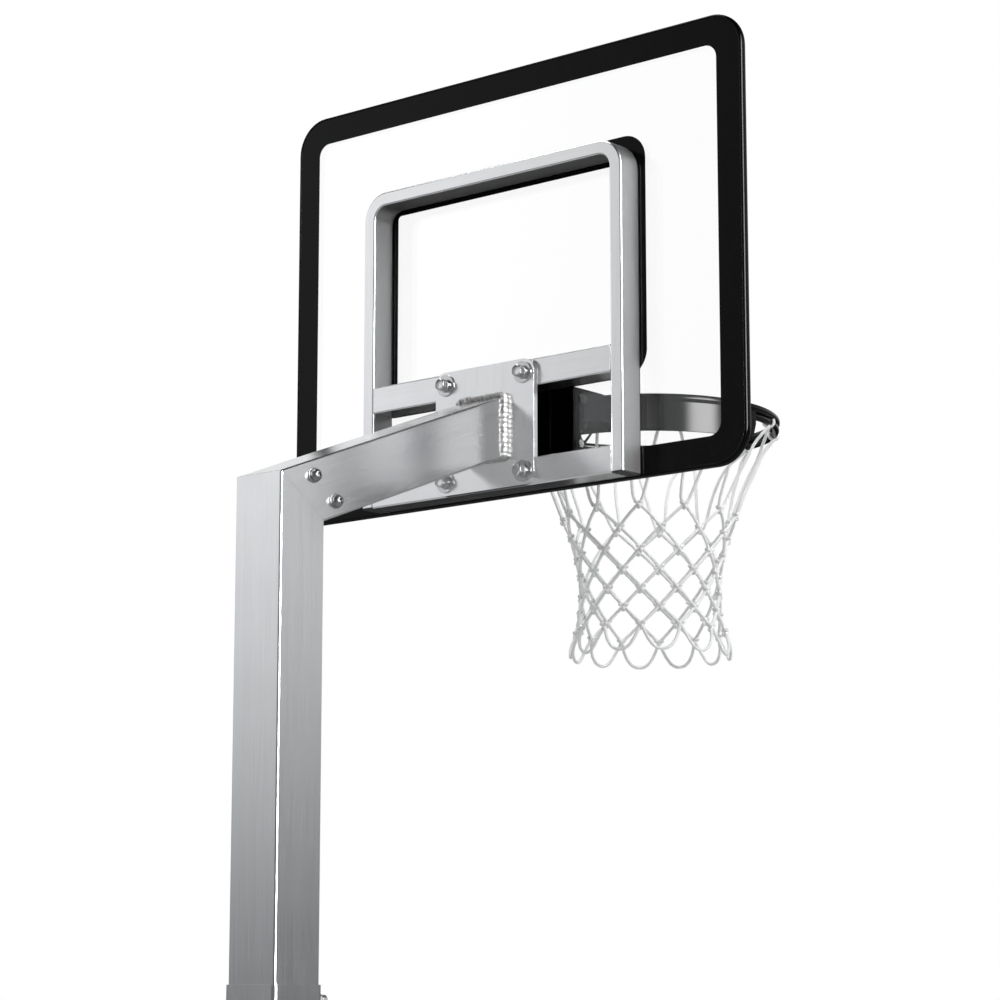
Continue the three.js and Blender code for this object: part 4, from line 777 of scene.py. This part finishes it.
wire_tree, sizes = group("wire", {"Wire": "Float", "Step": "Float", "Sides": "Int", "Finish": "Material"})
path = add(wire_tree, "GeometryNodeMeshToCurve", {}, {0: sizes["Geometry"]})
smooth = add(wire_tree, "GeometryNodeCurveSplineType", {"spline_type": "CATMULL_ROM"}, {0: path.outputs[0]})
points = add(wire_tree, "GeometryNodeResampleCurve", {"mode": "LENGTH"}, {0: smooth.outputs[0]})
wire_tree.links.new(sizes["Step"], points.inputs["Length"])
wire = add(wire_tree, "GeometryNodeCurvePrimitiveCircle", {}, {
    "Resolution": sizes["Sides"], "Radius": sizes["Wire"],
})
swept = add(wire_tree, "GeometryNodeCurveToMesh", {"Fill Caps": True}, {
    0: points.outputs[0], "Profile Curve": wire.outputs[0],
})
end_group(wire_tree, swept.outputs[0], sizes["Finish"])

foot = Vector((0, -0.594, 1.127))
spring_lean = math.radians(46.4)
spring_axis = Vector((0, -math.cos(spring_lean), math.sin(spring_lean)))
spring_side = Vector((0, math.sin(spring_lean), math.cos(spring_lean)))
coils, coil_radius, seat = 6, 0.0094, 0.01475
closed_share, closed_rise, open_rise = 1 / 9, 0.0035, 0.0505
steps = coils * 20
for label, x in (("left", -0.113), ("right", 0.113)):
    points = []
    for step in range(steps + 1):
        share = step / steps
        lower = min(share / closed_share, 1)
        middle = min(max((share - closed_share) / (1 - 2 * closed_share), 0), 1)
        upper = max((share - 1 + closed_share) / closed_share, 0)
        along = seat + closed_rise * (lower + upper) + open_rise * middle
        turn = 2 * math.pi * coils * share
        points.append(foot + spring_axis * along + spring_side * coil_radius * math.sin(turn)
                      + Vector((x + coil_radius * math.cos(turn), 0, 0)))
    edges = [(index, index + 1) for index in range(steps)]
    coil = grow(f"return_spring_{label}", wire_tree, points, edges, {
        "Wire": 0.0016, "Step": 0.0022, "Sides": 12, "Finish": spring_steel,
    })
    coil.data.shade_smooth()
    coil.data.set_sharp_from_angle(angle=math.radians(70))
    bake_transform(coil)
    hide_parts(f"rim_spring_{label}")


# Net: white three-strand nylon cord, about 6 mm, tied by hand into twelve loops of diamond mesh
# that hang from the lower rod. The knots are drawn tight, and the last row ends in open loops.
# The cord is matt, with fine fibres and a little soil.
cord_finish = bpy.data.materials.new("white_nylon_cord")
cord_finish.use_nodes = True
tree = cord_finish.node_tree
shader = tree.nodes["Principled BSDF"]
place = add(tree, "ShaderNodeTexCoord").outputs["Object"]
fibre = add(tree, "ShaderNodeTexNoise", {"Scale": 1400, "Detail": 2}, {"Vector": place})
soil = add(tree, "ShaderNodeTexNoise", {"Scale": 18, "Detail": 5}, {"Vector": place})
tint = add(tree, "ShaderNodeValToRGB", {"stops": [(0.3, "#f0efec"), (0.6, "#fcfcfb")]}, {
    "Fac": soil.outputs[0],
})
bump = add(tree, "ShaderNodeBump", {"Strength": 0.35, "Distance": 0.0003}, {"Height": fibre.outputs[0]})
shader.inputs["Roughness"].default_value = 0.7
shader.inputs["Sheen Weight"].default_value = 0.3
tree.links.new(tint.outputs[0], shader.inputs["Base Color"])
tree.links.new(bump.outputs[0], shader.inputs["Normal"])

cord_tree, sizes = group("twisted_cord", {
    "Radius": "Float", "Step": "Float", "Turns Per Metre": "Float", "Finish": "Material",
})
path = add(cord_tree, "GeometryNodeMeshToCurve", {}, {0: sizes["Geometry"]})
smooth = add(cord_tree, "GeometryNodeCurveSplineType", {"spline_type": "CATMULL_ROM"}, {0: path.outputs[0]})
points = add(cord_tree, "GeometryNodeResampleCurve", {"mode": "LENGTH"}, {0: smooth.outputs[0]})
cord_tree.links.new(sizes["Step"], points.inputs["Length"])
length = add(cord_tree, "GeometryNodeSplineParameter").outputs["Length"]
turns = add(cord_tree, "ShaderNodeMath", {"operation": "MULTIPLY"}, {0: length, 1: sizes["Turns Per Metre"]})
tilt = add(cord_tree, "ShaderNodeMath", {"operation": "MULTIPLY", 1: 2 * math.pi}, {0: turns.outputs[0]})
twisted = add(cord_tree, "GeometryNodeSetCurveTilt", {}, {0: points.outputs[0], "Tilt": tilt.outputs[0]})

# Every fourth of the section's twelve points stands out, which gives the cord its three strands.
ring = add(cord_tree, "GeometryNodeCurvePrimitiveCircle", {"Resolution": 12}, {"Radius": sizes["Radius"]})
spot = add(cord_tree, "GeometryNodeInputIndex")
lobe_angle = add(cord_tree, "ShaderNodeMath", {"operation": "MULTIPLY", 1: math.pi / 2}, {0: spot.outputs[0]})
lobe = add(cord_tree, "ShaderNodeMath", {"operation": "COSINE"}, {0: lobe_angle.outputs[0]})
stretch = add(cord_tree, "ShaderNodeMath", {"operation": "MULTIPLY_ADD", 1: 0.06, 2: 0.98}, {
    0: lobe.outputs[0],
})
where = add(cord_tree, "GeometryNodeInputPosition")
swollen = add(cord_tree, "ShaderNodeVectorMath", {"operation": "SCALE"}, {
    0: where.outputs[0], "Scale": stretch.outputs[0],
})
strands = add(cord_tree, "GeometryNodeSetPosition", {}, {0: ring.outputs[0], "Position": swollen.outputs[0]})
swept = add(cord_tree, "GeometryNodeCurveToMesh", {"Fill Caps": True}, {
    0: twisted.outputs[0], "Profile Curve": strands.outputs[0],
})
end_group(cord_tree, swept.outputs[0], sizes["Finish"])

# The net's outline is height and radius, from its hem to the rod. A step round it is half a mesh.
net_outline = [(0.799, 0.147), (0.82, 0.148), (0.839, 0.1405), (0.876, 0.1305), (0.913, 0.1275),
               (0.95, 0.1285), (0.988, 0.135), (1.026, 0.146), (1.063, 0.16), (1.101, 0.174),
               (1.12, 0.181), (1.138, 0.19), (1.19, 0.214), (1.2175, 0.2366)]
knot_rows = [1.065, 1.0265, 0.989, 0.953, 0.9185, 0.884, 0.85]
loop_count = 12
step_angle = math.radians(15)
wrap = 0.00915


def net_radius(z):
    """The net's radius at a height."""
    above = max(next(index for index, level in enumerate(net_outline) if level[0] >= z), 1)
    (low, near), (high, far) = net_outline[above - 1], net_outline[above]
    return near + (far - near) * (z - low) / (high - low)


def net_point(turn, z, out=0.0):
    """A point of the net at a count of steps round it."""
    angle, reach = turn * step_angle, net_radius(z) + out
    return Vector((reach * math.cos(angle), centre_y + reach * math.sin(angle), z))


def wrap_point(turn, slide, degrees):
    """A point of the loop round the lower rod; slide is the distance along the rod."""
    angle, lift = turn * step_angle, math.radians(degrees)
    reach = rod_radius + wrap * math.cos(lift)
    spot = Vector((reach * math.cos(angle), centre_y + reach * math.sin(angle),
                   rod_height + wrap * math.sin(lift)))
    return spot + Vector((-math.sin(angle), math.cos(angle), 0)) * slide


# A loop's two strands run up from the first knots, by these shares of a step and heights. On the
# rod's open half one closes round its outside and one round its inside; by the band both go inside.
courses = (
    (-1, ((0.85, 1.073), (0.68, 1.095), (0.5, 1.125), (0.3, 1.165), (0.18, 1.19))),
    (1, ((0.8, 1.075), (0.77, 1.1), (0.76, 1.13), (0.66, 1.17), (0.42, 1.195))),
)
round_outside, round_inside = (-90, -60, -28, 4, 32), (-90, -120, -150, -180, -212)
hem = ((0.3, 0.825), (0.62, 0.8085), (1, 0.8035), (1.38, 0.8085), (1.7, 0.825))
cords = []
for index in range(loop_count):
    hook = 2 * index + 1
    open_half = math.sin(hook * step_angle) <= 0.01
    for side, course in courses:
        strand = [net_point(hook + side, knot_rows[0])]
        strand += [net_point(hook + share * side, z, 0.001) for share, z in course]
        ends = round_outside if open_half and side > 0 else round_inside
        strand += [wrap_point(hook, 0.0027 * side, degrees) for degrees in ends]
        cords.append(strand)
    for row in range(1, len(knot_rows)):
        for side in (-1, 1):
            lower = 2 * index + row + 2
            low, high = knot_rows[row], knot_rows[row - 1]
            cords.append([net_point(lower, low), net_point(lower + 0.5 * side, (low + high) / 2, 0.0005),
                          net_point(lower + side, high)])
    start = 2 * index + 8
    cords.append([net_point(start, knot_rows[-1]), *(net_point(start + share, z) for share, z in hem),
                  net_point(start + 2, knot_rows[-1])])
points, edges = [], []
for strand in cords:
    edges += [(len(points) + index, len(points) + index + 1) for index in range(len(strand) - 1)]
    points += strand
net = grow("rope_net", cord_tree, points, edges, {
    "Radius": 0.003, "Step": 0.003, "Turns Per Metre": 25.0, "Finish": cord_finish,
})

# A knot is one cord in a trefoil, drawn tight, with its face turned outwards.
knot_steps, knot_sides, knot_cord = 26, 6, 0.0033
knot_path = []
for step in range(knot_steps):
    t = 2 * math.pi * step / knot_steps
    knot_path.append(Vector((0.0037 * math.sin(t) + 0.0034 * math.sin(2 * t), 0.0038 * math.sin(3 * t),
                             0.0043 * math.cos(t) - 0.0030 * math.cos(2 * t))))
round_cord = [2 * math.pi * side / knot_sides for side in range(knot_sides)]
knot_rings = []
for index, point in enumerate(knot_path):
    tangent = (knot_path[(index + 1) % knot_steps] - knot_path[index - 1]).normalized()
    first = tangent.cross(Vector((0, 1, 0.2))).normalized()
    second = tangent.cross(first)
    knot_rings.append([tuple(point + (first * math.cos(turn) + second * math.sin(turn)) * knot_cord)
                       for turn in round_cord])
pattern = skin("knot_pattern", [knot_rings], looped=True)
spots = [(2 * index + row + 2, z) for row, z in enumerate(knot_rows) for index in range(loop_count)]
knots = grow("cord_knots", repeat_tree, [net_point(turn, z) for turn, z in spots], [],
             {"Pattern": pattern, "Finish": cord_finish},
             [(0, 0, turn * step_angle - math.pi / 2) for turn, z in spots])
bpy.data.objects.remove(pattern)
fit(net, "rim", "white_cord", "net", sharp=80)
fit(knots, "rim", "white_cord", sharp=80)
